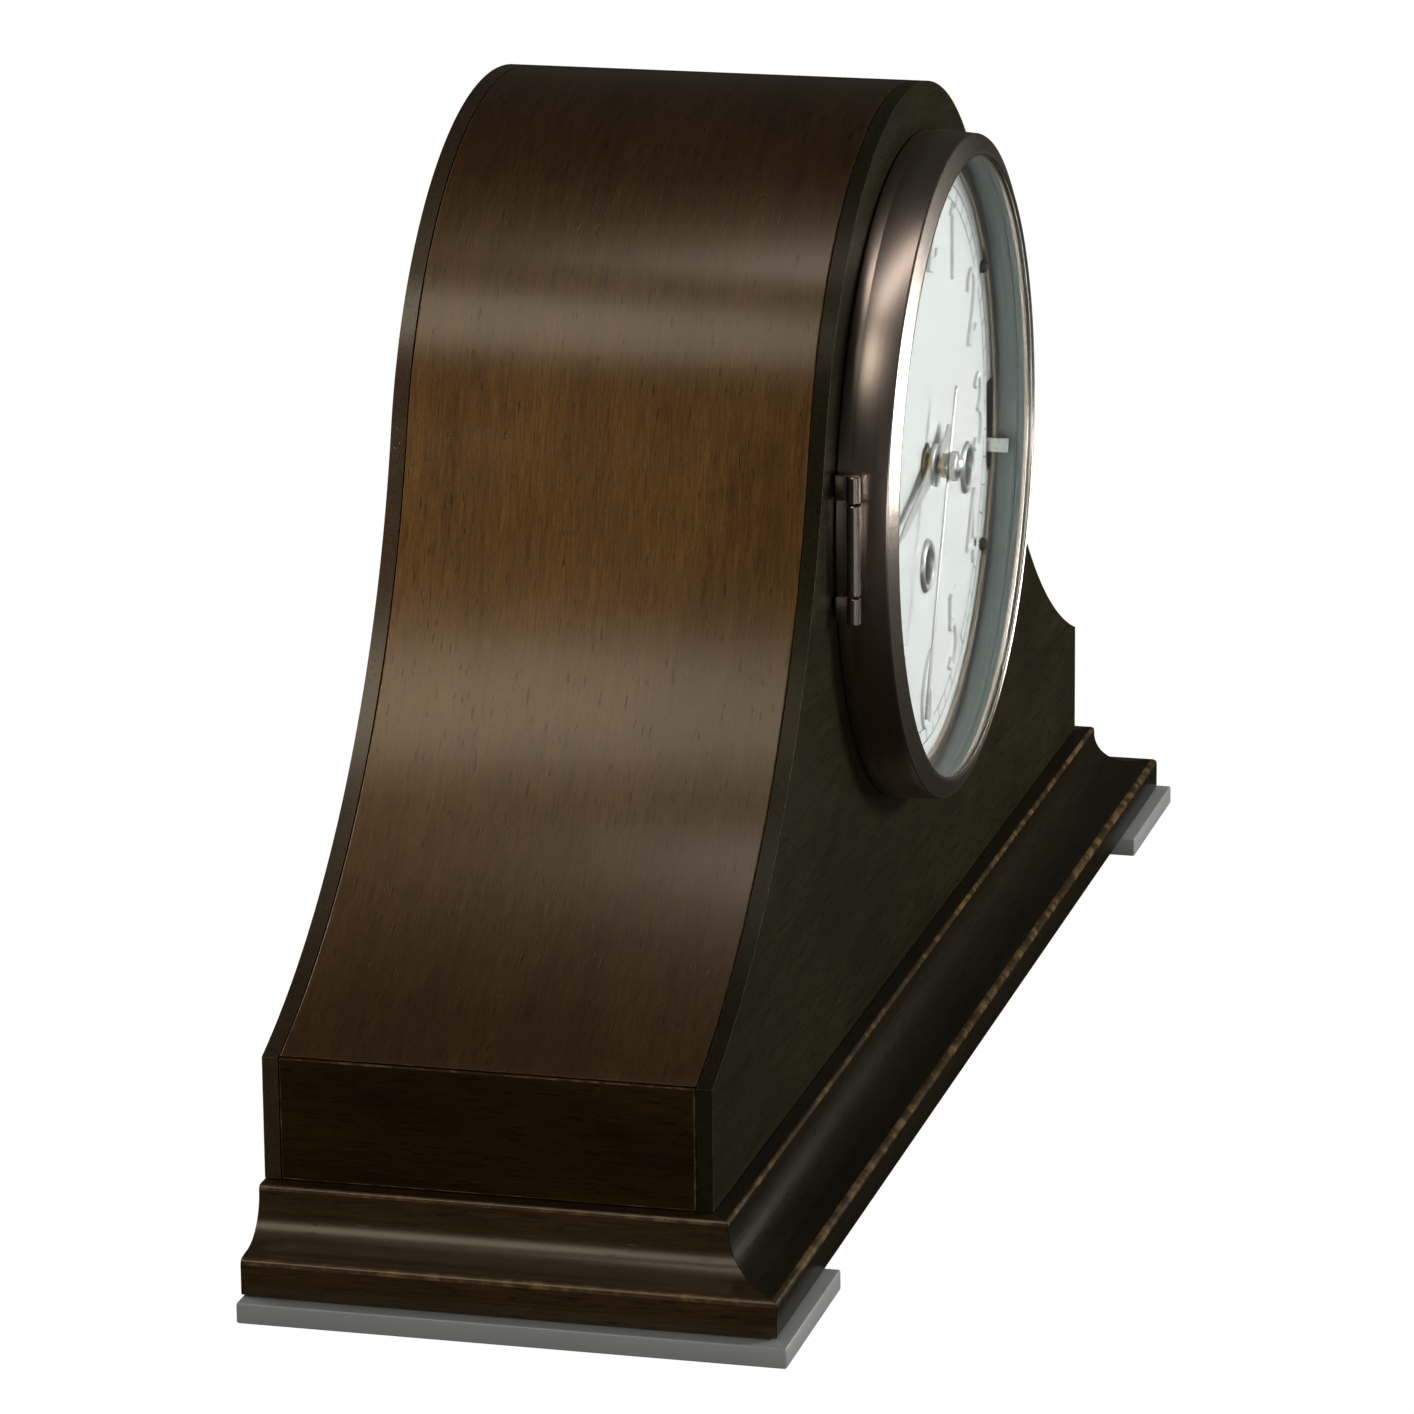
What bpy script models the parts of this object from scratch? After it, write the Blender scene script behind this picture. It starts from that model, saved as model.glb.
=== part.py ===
"""Key-wound tambour mantel clock with a hinged glazed bezel and a rod chime.

Millimetre dimensions are named below and turned into metres by MM.
X runs along the case, the dial faces -Y and Z is up; the feet stand on Z = 0.
"""
import math

import bmesh
import bpy
from mathutils import Matrix, Vector

MM = 0.001

# Case
BACK = 75.6                 # flush back of feet, base and back panel
FRONT = -51.6               # front face of the front panel
PANEL = 4.5                 # thickness of the front and back panels
HALF_LENGTH = 241.7         # half length of the case body
BODY_FOOT = 32.3            # underside of the case body
SHOULDER = 67.3             # height at which the flare meets the end block
SHELL = 6.0                 # thickness of the bent top
END_BLOCK = 20.0            # thickness of an end block
DIAL_Z = 182.0              # height of the dial centre
CROWN = 113.0               # radius of the top arc, concentric with the dial
FLARE_ANGLE = 75.0          # where the top arc turns into the flare, from the vertical
DIAL_OPENING = 82.0
GAP = 0.3

# Base
LEDGE = 5.5                 # ledge round the body
BASE_OUT = 23.3             # fascia beyond the body
BASE_TOP = 32.0
BASE_LOW = 6.3
MOULDING_IN = 14.0          # how far a moulding reaches under the body
FOOT_IN = 207.3
FOOT_OUT = 270.1
FOOT_FRONT = -78.8
FOOT_THICK = 6.0

# Back door
DOOR_HALF = 82.0
DOOR_LOW = 44.0
DOOR_GAP = 0.6
DOOR_PIN_Y = BACK + 1.6
DOOR_PIN_X = -DOOR_HALF + 0.3
DOOR_KNUCKLE = 1.5

# Bezel, as distances in front of the front panel
RING_OUT = 98.5
RING_IN = 89.6
RING_FRONT = 4.9
HOOP_OUT = 99.0
HOOP_IN = 93.8
HOOP_BACK = 5.3
HOOP_FRONT = 17.8
HINGE_X = -101.8
HINGE_Y = FRONT - 6.5
KNUCKLE = 2.0
PIN = 0.8

# Dial and hands
DIAL_R = 92.2
DIAL_BACK = 2.3
DIAL_FACE = 3.3
WINDERS = ((54.0, -14.0), (0.0, -31.0), (-54.0, -14.0))
WINDER_NAMES = ("chime", "time", "strike")
NOTCH_X = 83.6
NOTCH_LOW = -22.5
NOTCH_HIGH = 5.5
SCREW_R = 87.0
HOUR_TURN = 256.0           # hour hand, clockwise from twelve
MINUTE_TURN = 204.5         # minute hand, clockwise from twelve
MINUTE_OUT = 6.7            # rear face of the minute hand in front of the dial

# Movement
PLATE_FRONT = -36.0         # front face of the front plate
PLATE_BACK = 0.0            # front face of the back plate
PLATE_T = 1.8
SELECTOR = (66.0, -11.0)    # selector pivot from the dial centre
SELECTOR_TILT = -10.4       # selector angle as it stands
RUN = 0.05                  # radial running clearance
CANNON_TEETH = 12
MINUTE_TEETH = 36
PINION_TEETH = 10
HOUR_TEETH = 40
MODULE_1 = 0.5
MODULE_2 = 0.48
MOTION_SPAN = 12.0          # centre distance of both motion pairs

# Chime
ROD_Z = 50.0
ROD_YS = (30.0, 39.0, 48.0)
HAMMER_X = 96.0
HAMMER_Z = 66.0
HEAD_X = 128.0


def clear_scene():
    for item in list(bpy.data.objects):
        bpy.data.objects.remove(item, do_unlink=True)
    for group in list(bpy.data.collections):
        bpy.data.collections.remove(group)


clear_scene()
CLOCK = bpy.data.collections.new("tambour_mantel_clock")
CUTTERS = bpy.data.collections.new("cutters")
bpy.context.scene.collection.children.link(CLOCK)
bpy.context.scene.collection.children.link(CUTTERS)


def material(name, colour, rough, metal=0.0, alpha=1.0):
    found = bpy.data.materials.new(name)
    found.use_nodes = True
    shader = found.node_tree.nodes["Principled BSDF"]
    shader.inputs["Base Color"].default_value = (*colour, 1.0)
    shader.inputs["Roughness"].default_value = rough
    shader.inputs["Metallic"].default_value = metal
    shader.inputs["Alpha"].default_value = alpha
    return found


WOOD = material("espresso_wood", (0.045, 0.022, 0.013), 0.35)
PLAIN_WOOD = material("plain_wood", (0.06, 0.035, 0.02), 0.5)
NICKEL = material("brushed_nickel", (0.42, 0.37, 0.35), 0.3, 1.0)
GUNMETAL = material("satin_gunmetal", (0.22, 0.22, 0.23), 0.35, 1.0)
GLASS = material("clear_glass", (0.95, 0.98, 0.98), 0.02, 0.0, 0.3)
ENAMEL = material("white_dial", (0.8, 0.82, 0.81), 0.4)
BLACK = material("black_steel", (0.02, 0.02, 0.02), 0.3, 0.6)
GREY_STEEL = material("grey_steel", (0.3, 0.3, 0.31), 0.3, 1.0)
BRASS = material("brass", (0.6, 0.43, 0.18), 0.25, 1.0)
IRON = material("cast_iron", (0.05, 0.05, 0.05), 0.6, 0.6)

UPRIGHT = Matrix.Rotation(math.radians(90.0), 4, "X")   # local Z turns to face -Y
ALONG_X = Matrix.Rotation(math.radians(90.0), 4, "Y")   # local Z turns to face +X


def place(item, at, turn=None):
    """Set an object's place in millimetres, with an optional turn."""
    matrix = Matrix.Translation(Vector(at) * MM)
    item.matrix_world = matrix @ turn if turn is not None else matrix
    return item


def add(name, mesh, paint, group=None):
    item = bpy.data.objects.new(name, mesh)
    if not mesh.materials:
        mesh.materials.append(paint)
    (group or CLOCK).objects.link(item)
    return item


def smooth(mesh, angle=35.0):
    mesh.shade_smooth()
    mesh.set_sharp_from_angle(angle=math.radians(angle))


def evaluated(item):
    """The object's mesh with its modifiers applied, welded, as a new mesh."""
    graph = bpy.context.evaluated_depsgraph_get()
    graph.update()
    mesh = bpy.data.meshes.new_from_object(item.evaluated_get(graph))
    work = bmesh.new()
    work.from_mesh(mesh)
    bmesh.ops.remove_doubles(work, verts=work.verts, dist=1e-6)
    work.to_mesh(mesh)
    work.free()
    return mesh


def bake(item):
    """Replace an object by a plain mesh object in the same place."""
    mesh = evaluated(item)
    name = item.name
    matrix = item.matrix_world.copy()
    group = item.users_collection[0]
    bpy.data.objects.remove(item, do_unlink=True)
    fresh = bpy.data.objects.new(name, mesh)
    fresh.matrix_world = matrix
    group.objects.link(fresh)
    return fresh


def turned(name, profile, paint, at, turn=None, steps=48, closed=False, group=None):
    """A turned piece: (radius, height) pairs, outer side running top to bottom."""
    mesh = bpy.data.meshes.new(name)
    verts = [(r * MM, 0.0, h * MM) for r, h in profile]
    edges = [(i, i + 1) for i in range(len(verts) - 1)]
    if closed:
        edges.append((len(verts) - 1, 0))
    mesh.from_pydata(verts, edges, [])
    item = add(name, mesh, paint, group)
    screw = item.modifiers.new("Turn", "SCREW")
    screw.angle = math.radians(360.0)
    screw.steps = steps
    screw.render_steps = steps
    screw.use_merge_vertices = True
    screw.merge_threshold = 0.000001
    screw.use_normal_calculate = False
    place(item, at, turn)
    baked = bake(item)
    smooth(baked.data)
    return baked


def rod(name, radius, length, paint, at, turn=None, steps=20, chamfer=0.2, group=None):
    """A solid round bar from local height 0 up to its length."""
    profile = [
        (0.0, length),
        (radius - chamfer, length),
        (radius, length - chamfer),
        (radius, chamfer),
        (radius - chamfer, 0.0),
        (0.0, 0.0),
    ]
    return turned(name, profile, paint, at, turn, steps, group=group)


def tube(name, outer, inner, length, paint, at, turn=None, steps=32, group=None):
    profile = [(outer, length), (outer, 0.0), (inner, 0.0), (inner, length)]
    return turned(name, profile, paint, at, turn, steps, closed=True, group=group)


def plate(name, loops, thickness, paint, at, turn=UPRIGHT, group=None):
    """A flat outline with holes, extruded from local height 0 to its thickness."""
    curve = bpy.data.curves.new(name, "CURVE")
    curve.dimensions = "2D"
    curve.fill_mode = "BOTH"
    curve.extrude = thickness * MM / 2.0
    for loop in loops:
        spline = curve.splines.new("POLY")
        spline.points.add(len(loop) - 1)
        for point, (x, z) in zip(spline.points, loop):
            point.co = (x * MM, z * MM, 0.0, 1.0)
        spline.use_cyclic_u = True
    item = bpy.data.objects.new(name, curve)
    (group or CLOCK).objects.link(item)
    lift = Matrix.Translation((0.0, 0.0, thickness * MM / 2.0))
    place(item, at, (turn or Matrix.Identity(4)) @ lift)
    baked = bake(item)
    baked.data.transform(lift)
    baked.matrix_world = baked.matrix_world @ lift.inverted()
    baked.data.materials.clear()
    baked.data.materials.append(paint)
    return baked


def box(name, low, high, paint, group=None, bevel=0.0):
    """A block between two corners, in millimetres."""
    mesh = bpy.data.meshes.new(name)
    work = bmesh.new()
    bmesh.ops.create_cube(work, size=1.0)
    size = Vector(high) - Vector(low)
    bmesh.ops.scale(work, vec=size * MM, verts=work.verts)
    work.to_mesh(mesh)
    work.free()
    item = add(name, mesh, paint, group)
    place(item, (Vector(high) + Vector(low)) / 2.0)
    if bevel:
        edge = item.modifiers.new("Edge", "BEVEL")
        edge.width = bevel * MM
        edge.segments = 2
        edge.limit_method = "ANGLE"
    return item


def combine(target, tools, operation):
    """Union or difference of mesh objects; the tools are removed afterwards."""
    for tool in tools:
        step = target.modifiers.new("Join", "BOOLEAN")
        step.operation = operation
        step.solver = "EXACT"
        step.object = tool
    baked = bake(target)
    for tool in tools:
        bpy.data.objects.remove(tool, do_unlink=True)
    smooth(baked.data)
    return baked


def set_origin(item, at):
    """Move an object's origin to a point on its joint axis, shape unmoved."""
    shift = Matrix.Translation(Vector(at) * MM)
    item.data.transform(shift.inverted() @ item.matrix_world)
    item.matrix_world = shift
    return item


def circle(radius, count, cx=0.0, cz=0.0):
    points = []
    for i in range(count):
        turn = 2.0 * math.pi * i / count
        points.append((cx + radius * math.cos(turn), cz + radius * math.sin(turn)))
    return points


# ---------------------------------------------------------------- case outline


def flare_circle():
    """Centre distance and radius of the concave flare tangent to the top arc."""
    turn = math.radians(FLARE_ANGLE)
    drop = DIAL_Z - SHOULDER
    top = HALF_LENGTH ** 2 + drop ** 2 - CROWN ** 2
    span = top / (2.0 * (HALF_LENGTH * math.sin(turn) - drop * math.cos(turn) - CROWN))
    return span, span - CROWN


def half_outline(inset, end_z, arc_steps=14, flare_steps=14):
    """Left half of the case silhouette moved inwards, from crown to shoulder."""
    span, radius = flare_circle()
    turn = math.radians(FLARE_ANGLE)
    points = []
    for i in range(arc_steps + 1):
        angle = turn * i / arc_steps
        reach = CROWN - inset
        points.append((-reach * math.sin(angle), DIAL_Z + reach * math.cos(angle)))
    cx = -span * math.sin(turn)
    cz = DIAL_Z + span * math.cos(turn)
    reach = radius + inset
    last = math.acos((cz - end_z) / reach)
    for i in range(1, flare_steps + 1):
        angle = turn + (last - turn) * i / flare_steps
        points.append((cx + reach * math.sin(angle), cz - reach * math.cos(angle)))
    return points


def full_outline(inset, end_z):
    left = half_outline(inset, end_z)
    right = [(-x, z) for x, z in left[1:]]
    return list(reversed(left)) + right


def body_outline():
    top = full_outline(0.0, SHOULDER)
    top[0] = (-HALF_LENGTH, SHOULDER)
    top[-1] = (HALF_LENGTH, SHOULDER)
    return [(-HALF_LENGTH, BODY_FOOT)] + top + [(HALF_LENGTH, BODY_FOOT)]


def door_outline(half, low, steps=20):
    points = [(-half, low)]
    for i in range(steps + 1):
        angle = math.pi - math.pi * i / steps
        points.append((half * math.cos(angle), DIAL_Z + half * math.sin(angle)))
    points.append((half, low))
    return points


def build_case():
    outline = body_outline()
    hole = circle(DIAL_OPENING, 56, 0.0, DIAL_Z)
    plate("front_panel", [outline, hole], PANEL, WOOD, (0.0, FRONT + PANEL, 0.0))
    doorway = door_outline(DOOR_HALF, DOOR_LOW)
    plate("back_panel", [outline, doorway], PANEL, WOOD, (0.0, BACK, 0.0))
    shell_low = SHOULDER + GAP
    inner_y = FRONT + PANEL + GAP
    depth = BACK - PANEL - GAP - inner_y
    outer = full_outline(0.0, shell_low)
    inner = full_outline(SHELL, shell_low)
    sheet = outer + list(reversed(inner))
    plate("curved_shell", [sheet], depth, WOOD, (0.0, inner_y + depth, 0.0))
    for side, sign in (("left", -1.0), ("right", 1.0)):
        xs = sorted((sign * HALF_LENGTH, sign * (HALF_LENGTH - END_BLOCK)))
        low = (xs[0], inner_y, BODY_FOOT)
        high = (xs[1], inner_y + depth, SHOULDER)
        box(side + "_end_block", low, high, WOOD)


# ---------------------------------------------------------------- base and feet


def moulding_profile():
    """(outward, height) section of the base moulding, cove under a ledge."""
    points = [(-MOULDING_IN, BASE_LOW), (-MOULDING_IN, BASE_TOP), (LEDGE - 1.0, BASE_TOP)]
    points.append((LEDGE - 0.3, BASE_TOP - 0.3))
    points.append((LEDGE, BASE_TOP - 1.0))
    centre = (18.5, 30.0)
    reach = (13.0, 12.7)
    for i in range(9):
        angle = math.radians(180.0 + 90.0 * i / 8.0)
        out = centre[0] + reach[0] * math.cos(angle)
        points.append((out, centre[1] + reach[1] * math.sin(angle)))
    points.append((BASE_OUT - 1.6, 16.9))
    points.append((BASE_OUT - 0.5, 16.2))
    points.append((BASE_OUT, 15.0))
    points.append((BASE_OUT, BASE_LOW + 0.6))
    points.append((BASE_OUT - 0.6, BASE_LOW))
    return points


def moulding(name, start, end, place_point):
    """Sweep the section; place_point maps (along end index, outward, height)."""
    mesh = bpy.data.meshes.new(name)
    work = bmesh.new()
    section = moulding_profile()
    first = [work.verts.new(place_point(start, o, h)) for o, h in section]
    face = work.faces.new(first)
    grown = bmesh.ops.extrude_face_region(work, geom=[face])
    fresh = [v for v in grown["geom"] if isinstance(v, bmesh.types.BMVert)]
    for vert, (o, h) in zip(sorted(fresh, key=lambda v: v.index), section):
        vert.co = place_point(end, o, h)
    work.verts.index_update()
    bmesh.ops.recalc_face_normals(work, faces=work.faces)
    work.to_mesh(mesh)
    work.free()
    item = add(name, mesh, WOOD)
    smooth(mesh, 30.0)
    return item


def build_base():
    cut = GAP / 2.0

    def along_front(end, out, height):
        x = (HALF_LENGTH + out - cut) * end
        return Vector((x, FRONT - out, height)) * MM

    def along_side(sign):
        def point(end, out, height):
            y = BACK if end else FRONT - out + cut
            return Vector((sign * (HALF_LENGTH + out), y, height)) * MM

        return point

    moulding("front_moulding", -1.0, 1.0, along_front)
    moulding("left_moulding", 0, 1, along_side(-1.0))
    moulding("right_moulding", 0, 1, along_side(1.0))
    inner = HALF_LENGTH - MOULDING_IN - GAP
    low = (-inner, FRONT + MOULDING_IN + GAP, 12.0)
    box("base_board", low, (inner, BACK, BASE_TOP), PLAIN_WOOD)
    for side, sign in (("left", -1.0), ("right", 1.0)):
        xs = sorted((sign * FOOT_IN, sign * FOOT_OUT))
        foot_low = (xs[0], FOOT_FRONT, 0.0)
        foot_high = (xs[1], BACK, FOOT_THICK)
        box(side + "_foot_plate", foot_low, foot_high, GUNMETAL, bevel=0.4)


# ---------------------------------------------------------------- back door


def build_back_door():
    outline = door_outline(DOOR_HALF - DOOR_GAP, DOOR_LOW + DOOR_GAP)
    finger = circle(8.0, 24, 66.0, DIAL_Z - 40.0)
    door = plate("rear_door", [outline, finger], PANEL, WOOD, (0.0, BACK, 0.0))
    set_origin(door, (DOOR_PIN_X, DOOR_PIN_Y, 0.0))
    bottom = 90.0
    lengths = (20.0, 40.0, 20.0)
    rod("rear_hinge_pin", 0.7, sum(lengths) + 1.2, GREY_STEEL,
        (DOOR_PIN_X, DOOR_PIN_Y, bottom), steps=12, chamfer=0.1)
    at = bottom
    knuckles = []
    for index, length in enumerate(lengths):
        knuckles.append(tube("knuckle", DOOR_KNUCKLE, 0.7 + RUN, length,
                             GREY_STEEL, (DOOR_PIN_X, DOOR_PIN_Y, at), steps=20))
        at += length + 0.6
    face = BACK + 0.2
    skin = face + 0.8
    top = bottom + sum(lengths) + 1.2
    starts = (bottom, bottom + 20.6, bottom + 61.2)
    tabs = []
    for start, length, sign in zip(starts, lengths, (-1.0, 1.0, -1.0)):
        xs = sorted((DOOR_PIN_X + sign * 0.95, DOOR_PIN_X + sign * 2.6))
        tabs.append(box("tab", (xs[0], face, start), (xs[1], skin, start + length), GREY_STEEL))
    frame_leaf = box("rear_hinge_frame_leaf", (DOOR_PIN_X - 12.0, face, bottom),
                     (DOOR_PIN_X - 1.9, skin, top), GREY_STEEL)
    combine(frame_leaf, [tabs[0], tabs[2], knuckles[0], knuckles[2]], "UNION")
    door_leaf = box("rear_hinge_door_leaf", (DOOR_PIN_X + 1.9, face, bottom),
                    (DOOR_PIN_X + 12.0, skin, top), GREY_STEEL)
    door_leaf = combine(door_leaf, [tabs[1], knuckles[1]], "UNION")
    set_origin(door_leaf, (DOOR_PIN_X, DOOR_PIN_Y, 0.0))


# ---------------------------------------------------------------- bezel


def build_bezel():
    ring_profile = [
        (RING_OUT - 0.4, RING_FRONT),
        (RING_OUT, RING_FRONT - 0.4),
        (RING_OUT, GAP),
        (DIAL_R + 0.3, GAP),
        (DIAL_R + 0.3, DIAL_FACE + GAP),
        (RING_IN, DIAL_FACE + GAP),
        (RING_IN, RING_FRONT - 0.3),
        (RING_IN + 0.3, RING_FRONT),
    ]
    at = (0.0, FRONT, DIAL_Z)
    ring = turned("bezel_back_ring", ring_profile, NICKEL, at, UPRIGHT, 64, closed=True)
    tools = []
    for low in (13.8, -21.6):
        z = DIAL_Z + low
        axis = (HINGE_X, HINGE_Y, z)
        rear = FRONT - 2.2
        arm_high = (HINGE_X + 1.2, rear, z + 7.8)
        tools.append(box("arm", (HINGE_X - 1.2, HINGE_Y, z), arm_high, NICKEL))
        leaf_low = (HINGE_X - 1.2, FRONT - 4.7, z)
        tools.append(box("leaf", leaf_low, (-96.0, rear, z + 7.8), NICKEL))
        tools.append(rod("barrel", KNUCKLE, 7.8, NICKEL, axis, steps=24, chamfer=0.3))
    ring = combine(ring, tools, "UNION")
    bore = rod("bore", PIN + RUN, 60.0, NICKEL, (HINGE_X, HINGE_Y, DIAL_Z - 30.0), steps=24)
    combine(ring, [bore], "DIFFERENCE")

    front = HOOP_FRONT
    hoop_profile = [
        (92.6, front),
        (95.5, front - 0.2),
        (97.6, front - 0.9),
        (98.6, front - 1.8),
        (HOOP_OUT, front - 3.0),
        (HOOP_OUT, HOOP_BACK + 0.3),
        (HOOP_OUT - 0.3, HOOP_BACK),
        (HOOP_IN, HOOP_BACK),
        (HOOP_IN, front - 1.1),
        (91.8, front - 1.1),
        (91.8, front - 0.5),
    ]
    hoop = turned("bezel_hoop", hoop_profile, NICKEL, at, UPRIGHT, 64, closed=True)
    barrel = rod("barrel", KNUCKLE, 26.4, NICKEL, (HINGE_X, HINGE_Y, DIAL_Z - 13.2),
                 steps=24, chamfer=0.3)
    leaf_low = (HINGE_X, HINGE_Y - 1.4, DIAL_Z - 12.8)
    leaf = box("leaf", leaf_low, (-97.0, HINGE_Y + 0.6, DIAL_Z + 12.8), NICKEL)
    hoop = combine(hoop, [barrel, leaf], "UNION")
    bore = rod("bore", PIN + RUN, 60.0, NICKEL, (HINGE_X, HINGE_Y, DIAL_Z - 30.0), steps=24)
    hoop = combine(hoop, [bore], "DIFFERENCE")
    set_origin(hoop, (HINGE_X, HINGE_Y, DIAL_Z))
    rod("bezel_hinge_pin", PIN, 43.6, NICKEL, (HINGE_X, HINGE_Y, DIAL_Z - 21.8), steps=24, chamfer=0.2)

    glass_front = front - 1.4
    rim = HOOP_IN - 0.5
    glass_back = glass_front - 1.3
    pane = [(0.0, glass_front), (rim, glass_front), (rim, glass_back), (0.0, glass_back)]
    glass = turned("bezel_glass", pane, GLASS, at, UPRIGHT, 64)
    set_origin(glass, (HINGE_X, HINGE_Y, DIAL_Z))
    top = glass_back - GAP
    low = top - 1.6
    rim = HOOP_IN - 0.3
    section = [(rim, top), (rim, low), (rim - 1.6, low), (rim - 1.6, top)]
    retainer = turned("glass_retainer", section, NICKEL, at, UPRIGHT, 48, closed=True)
    set_origin(retainer, (HINGE_X, HINGE_Y, DIAL_Z))


# ---------------------------------------------------------------- dial and hands


def dial_outline():
    """Dial disc with a straight notch for the selector at the right."""
    points = []
    low = math.asin(NOTCH_LOW / DIAL_R)
    high = math.asin(NOTCH_HIGH / DIAL_R)
    span = 2.0 * math.pi - (high - low)
    for i in range(73):
        turn = high + span * i / 72.0
        points.append((DIAL_R * math.cos(turn), DIAL_R * math.sin(turn)))
    points.append((NOTCH_X, NOTCH_LOW))
    points.append((NOTCH_X, NOTCH_HIGH))
    return points


def screw_places():
    places = []
    for hour in (2, 4, 8, 10):
        turn = math.radians(90.0 - 30.0 * hour)
        places.append((hour, SCREW_R * math.cos(turn), SCREW_R * math.sin(turn)))
    return places


def build_dial():
    loops = [dial_outline(), circle(6.6, 24)]
    for x, z in WINDERS:
        loops.append(circle(7.3, 24, x, z))
    for hour, x, z in screw_places():
        loops.append(circle(1.5, 8, x, z))
    plate("dial_plate", loops, DIAL_FACE - DIAL_BACK, ENAMEL, (0.0, FRONT - DIAL_BACK, DIAL_Z))
    shape = None
    for label, (x, z) in zip(WINDER_NAMES, WINDERS):
        top = DIAL_FACE + 1.3
        profile = [
            (6.4, top),
            (7.7, top - 0.2),
            (8.3, DIAL_FACE + 0.15),
            (7.0, DIAL_FACE + 0.15),
            (7.0, -2.0),
            (6.0, -2.0),
            (6.0, top - 0.6),
        ]
        grommet = turned("winding_grommet_" + label, profile, NICKEL,
                         (x, FRONT, DIAL_Z + z), UPRIGHT, 24, closed=True)
        if shape:
            grommet.data = shape
        shape = grommet.data
    shape = None
    for hour, x, z in screw_places():
        base = DIAL_FACE + 0.2
        profile = [
            (0.0, base + 2.0),
            (0.9, base + 1.8),
            (1.6, base + 1.2),
            (2.0, base + 0.3),
            (2.0, base),
            (1.2, base),
            (1.2, GAP),
            (0.0, GAP),
        ]
        # the shank stops short of the wood and ends in the dial's thickness
        screw = turned("dial_screw_%d" % hour, profile, BLACK, (x, FRONT, DIAL_Z + z), UPRIGHT, 12)
        if shape:
            screw.data = shape
        shape = screw.data


def hand_turn(degrees):
    return UPRIGHT @ Matrix.Rotation(math.radians(-degrees), 4, "Z")


def round_end(half, tip, steps=6):
    points = []
    for i in range(steps + 1):
        turn = math.pi * i / steps
        points.append((half * math.cos(turn), tip + half * math.sin(turn)))
    return points


def build_hands():
    """Hands are drawn pointing up and turned clockwise to the time shown."""
    bushing = [
        (4.6, DIAL_FACE + 1.0),
        (5.0, DIAL_FACE + 0.6),
        (5.0, DIAL_BACK - GAP),
        (7.8, DIAL_BACK - GAP),
        (7.8, DIAL_BACK - GAP - 1.0),
        (3.4, DIAL_BACK - GAP - 1.0),
        (3.4, DIAL_FACE + 1.0),
    ]
    turned("centre_bushing", bushing, BRASS, (0.0, FRONT, DIAL_Z), UPRIGHT, 20, closed=True)

    hour_y = FRONT - DIAL_FACE - 2.4
    blade = [(2.7, 10.5), (2.1, 19.0), (1.75, 40.0), (0.0, 50.0), (-1.75, 40.0), (-2.1, 19.0), (-2.7, 10.5)]
    outline = []
    for i in range(13):
        turn = math.radians(116.0 + 130.0 * i / 12.0)
        outline.append((6.2 * math.cos(turn), 6.2 * math.sin(turn)))
    for i in range(9):
        turn = math.radians(180.0 + 180.0 * i / 8.0)
        outline.append((3.6 * math.cos(turn), -18.6 + 3.6 * math.sin(turn)))
    for i in range(13):
        turn = math.radians(-66.0 + 130.0 * i / 12.0)
        outline.append((6.2 * math.cos(turn), 6.2 * math.sin(turn)))
    outline += blade
    bore = circle(3.0 + 0.02, 24)
    plate("hour_hand", [outline, bore], 0.6, GREY_STEEL, (0.0, hour_y, DIAL_Z), hand_turn(HOUR_TURN))

    minute_y = FRONT - DIAL_FACE - MINUTE_OUT
    outline = []
    for i in range(21):
        turn = math.radians(100.0 + 160.0 * i / 20.0)
        outline.append((3.6 * math.cos(turn), 3.6 * math.sin(turn)))
    outline += [(-0.8, -22.8), (-0.62, -23.6), (0.0, -24.0), (0.62, -23.6), (0.8, -22.8)]
    for i in range(21):
        turn = math.radians(-80.0 + 160.0 * i / 20.0)
        outline.append((3.6 * math.cos(turn), 3.6 * math.sin(turn)))
    outline += [(0.75, 72.0), (0.0, 76.0), (-0.75, 72.0)]
    plate("minute_hand", [outline, circle(1.52, 16)], 0.8, NICKEL,
          (0.0, minute_y, DIAL_Z), hand_turn(MINUTE_TURN))
    nut = [
        (0.0, 11.6),
        (1.5, 11.45),
        (2.8, 10.95),
        (3.7, 10.1),
        (4.1, 9.5),
        (4.5, 9.5),
        (4.5, 7.8),
        (1.53, 7.8),
        (1.53, 10.6),
        (0.0, 10.6),
    ]
    turned("hand_nut", nut, NICKEL, (0.0, FRONT - DIAL_FACE, DIAL_Z), UPRIGHT, 24)


# ---------------------------------------------------------------- movement


def gear_outline(teeth, module, addendum=0.75, dedendum=1.15, slack=0.30):
    """Involute teeth with extra side clearance; one tooth centred at angle 0."""
    pitch_r = teeth * module / 2.0
    base_r = pitch_r * math.cos(math.radians(20.0))
    tip_r = pitch_r + addendum * module
    root_r = pitch_r - dedendum * module
    half = math.pi / 2.0 / teeth - slack * module / 2.0 / pitch_r

    def involute(radius):
        if radius <= base_r:
            return 0.0
        turn = math.acos(base_r / radius)
        return math.tan(turn) - turn

    at_pitch = involute(pitch_r)
    radii = [root_r, pitch_r, tip_r]
    flank = [(r, half + at_pitch - involute(r)) for r in radii]
    points = []
    for tooth in range(teeth):
        middle = 2.0 * math.pi * tooth / teeth
        for radius, width in flank:
            angle = middle - width
            points.append((radius * math.cos(angle), radius * math.sin(angle)))
        for radius, width in reversed(flank):
            angle = middle + width
            points.append((radius * math.cos(angle), radius * math.sin(angle)))
    return points


def rotated(points, degrees):
    turn = math.radians(degrees)
    cos_t = math.cos(turn)
    sin_t = math.sin(turn)
    return [(x * cos_t - z * sin_t, x * sin_t + z * cos_t) for x, z in points]


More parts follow.
